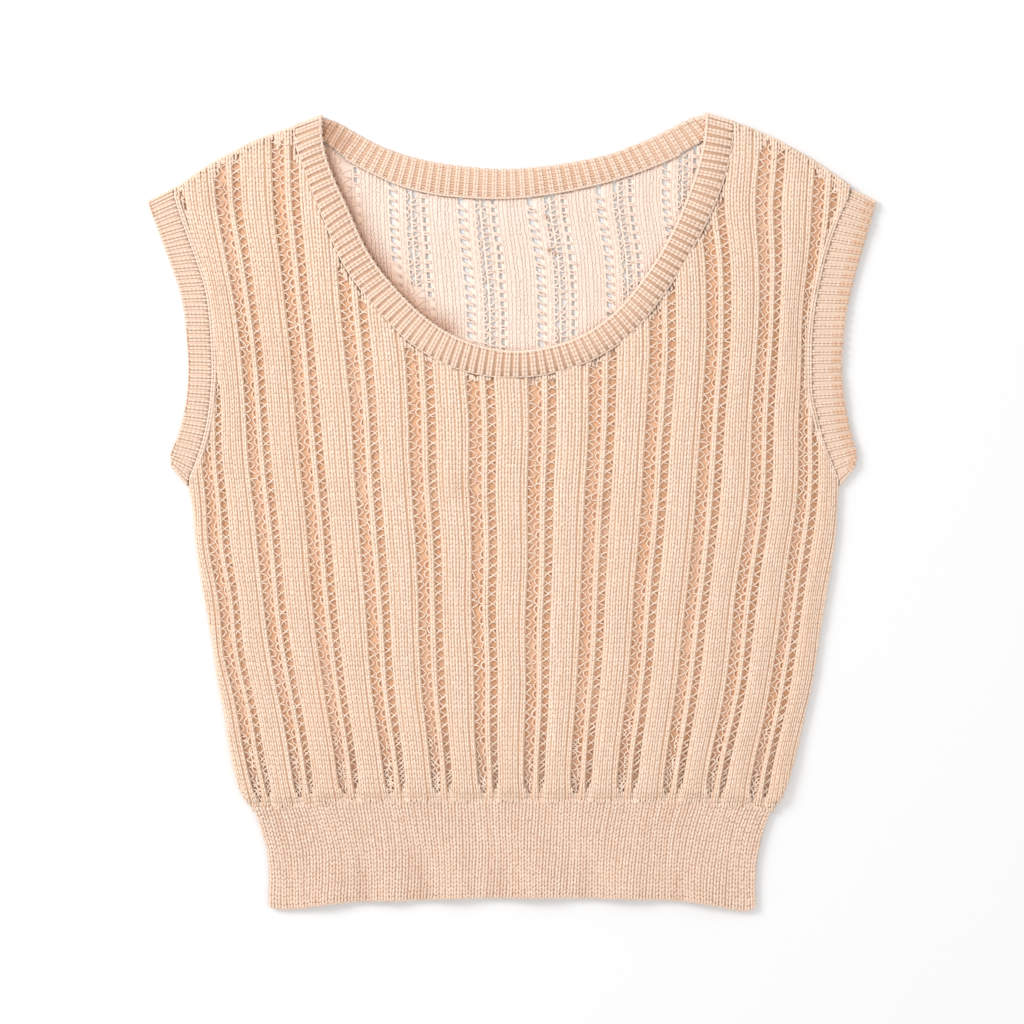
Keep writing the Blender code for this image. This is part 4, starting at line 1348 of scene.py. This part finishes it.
def armband(name, seam_index, edge_index, inward, pitch, leg_gap):
    """An armband's ground and ribs, from its seam's and its edge's columns in the armhole's table."""
    heights = np.linspace(ARMHOLE_ROWS[0][0], ARMHOLE_ROWS[-1][0], 60)
    seam_x, edge_x, rise = (read(ARMHOLE_ROWS, heights, i) for i in (seam_index, edge_index, 5))
    rows = np.stack([seam_x, heights, edge_x, heights + rise], axis=1)
    ends = ((0.0, 6.0), (0.0, 6.0))
    placed = band_sections(rows, rows[::-1], ARM_MIDDLES, (ARM_CROWN, 0.0), ends)
    ground = band_ground(name, placed, ARM_WALL, 0.55)
    top, low = ARM_MIDDLES
    knit = (0.98, ARM_COURSE, ARM_WALL)
    strips = [
        band_ribs(rows, pitch, leg_gap, *knit, top, 1.0, ARM_CROWN, ends[0], both=True),
        band_ribs(rows, pitch, leg_gap, *knit, low, -1.0, 0.0, ends[1]),
    ]
    folds = fold_ribs(rows, ARM_MIDDLES, ARM_WALL, 0.74, ARM_COURSE)
    chains = []
    for inset in (0.5, 2.1):
        line = raised(np.column_stack([seam_x + inward * inset, heights]), FRONT_INSIDE + 2.2)
        chains.append(seam_chain(line[1:-1], 0.86, 2.9, 0.95))
    return ground, mesh_piece(name + "_ribs", *gather(*strips, *folds, *chains), BAND_YARN, "rib_knit")


# Build

front = front_ground()
front_parts = [
    front_legs("front_stitches_left", range(-1, 5)),
    front_legs("front_stitches_right", range(5, LADDERS)),
    front_ladders("front_ladders_left", range(0, 6)),
    front_ladders("front_ladders_right", range(6, LADDERS)),
    body_edges(),
]
back = back_ground()
back_parts = [
    back_legs("back_stitches_under", True),
    back_legs("back_stitches_inside", False),
    back_ladders("back_ladders_under", False),
    back_ladders("back_ladders_inside", True),
]
waist_front, waist_front_stitches = waistband("waistband_front", True)
waist_back, waist_back_stitches = waistband("waistband_back", False)
neck, neck_ribs = neckband()
arm_left, arm_left_ribs = armband("armband_left", 1, 3, 1.0, 5.4, 1.08)
arm_right, arm_right_ribs = armband("armband_right", 2, 4, -1.0, 6.0, 0.88)

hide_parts("front_panel")
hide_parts("back_panel")
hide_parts("waistband_front")
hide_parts("waistband_back")
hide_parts("neckband")
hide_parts("armband_left")
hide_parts("armband_right")

# Floor, light and camera

CAMERA_LENS = 85.0
CAMERA_TARGET_HEIGHT = 0.003
VIEW_WIDTH = 0.6656
SENSOR = 36.0
FLOOR_HALF = 4
FLOOR_Z = -0.0001

corners = [(x * FLOOR_HALF, y * FLOOR_HALF, FLOOR_Z) for x, y in ((-1, -1), (1, -1), (1, 1), (-1, 1))]
floor_mesh = bpy.data.meshes.new("floor")
floor_mesh.from_pydata(corners, [], [(0, 1, 2, 3)])
floor = bpy.data.objects.new("floor", floor_mesh)
bpy.context.scene.collection.objects.link(floor)
floor_material = bpy.data.materials.new("floor")
floor_material.use_nodes = True
floor_shader = floor_material.node_tree.nodes["Principled BSDF"]
set_values(floor_shader, {"Base Color": (0.87, 0.87, 0.87, 1.0), "Roughness": 0.9, "Specular IOR Level": 0.1})
floor_mesh.materials.append(floor_material)

world = bpy.data.worlds.new("studio")
world.use_nodes = True
set_values(world.node_tree.nodes["Background"], {"Color": (1.0, 1.0, 1.0, 1.0), "Strength": 0.78})
bpy.context.scene.world = world


def area_light(name, place, size, power):
    """A square light that faces the origin."""
    data = bpy.data.lights.new(name, "AREA")
    data.shape = "RECTANGLE"
    data.size = data.size_y = size
    data.energy = power
    light = bpy.data.objects.new(name, data)
    light.location = place
    x, y, z = place
    light.rotation_euler = (math.atan2(math.hypot(x, y), z), 0.0, math.atan2(-x, y) + math.pi)
    bpy.context.scene.collection.objects.link(light)


area_light("key", (-1.6, 1.0, 1.35), 0.9, 32.0)
area_light("fill", (1.2, -0.6, 2.2), 2.0, 8.0)

camera_data = bpy.data.cameras.new("camera")
camera_data.lens = CAMERA_LENS
camera_data.sensor_width = SENSOR
camera = bpy.data.objects.new("camera", camera_data)
camera.location = (0.0, 0.0, CAMERA_LENS * VIEW_WIDTH / SENSOR + CAMERA_TARGET_HEIGHT)
bpy.context.scene.collection.objects.link(camera)
bpy.context.scene.camera = camera
bpy.context.scene.view_settings.view_transform = "Standard"
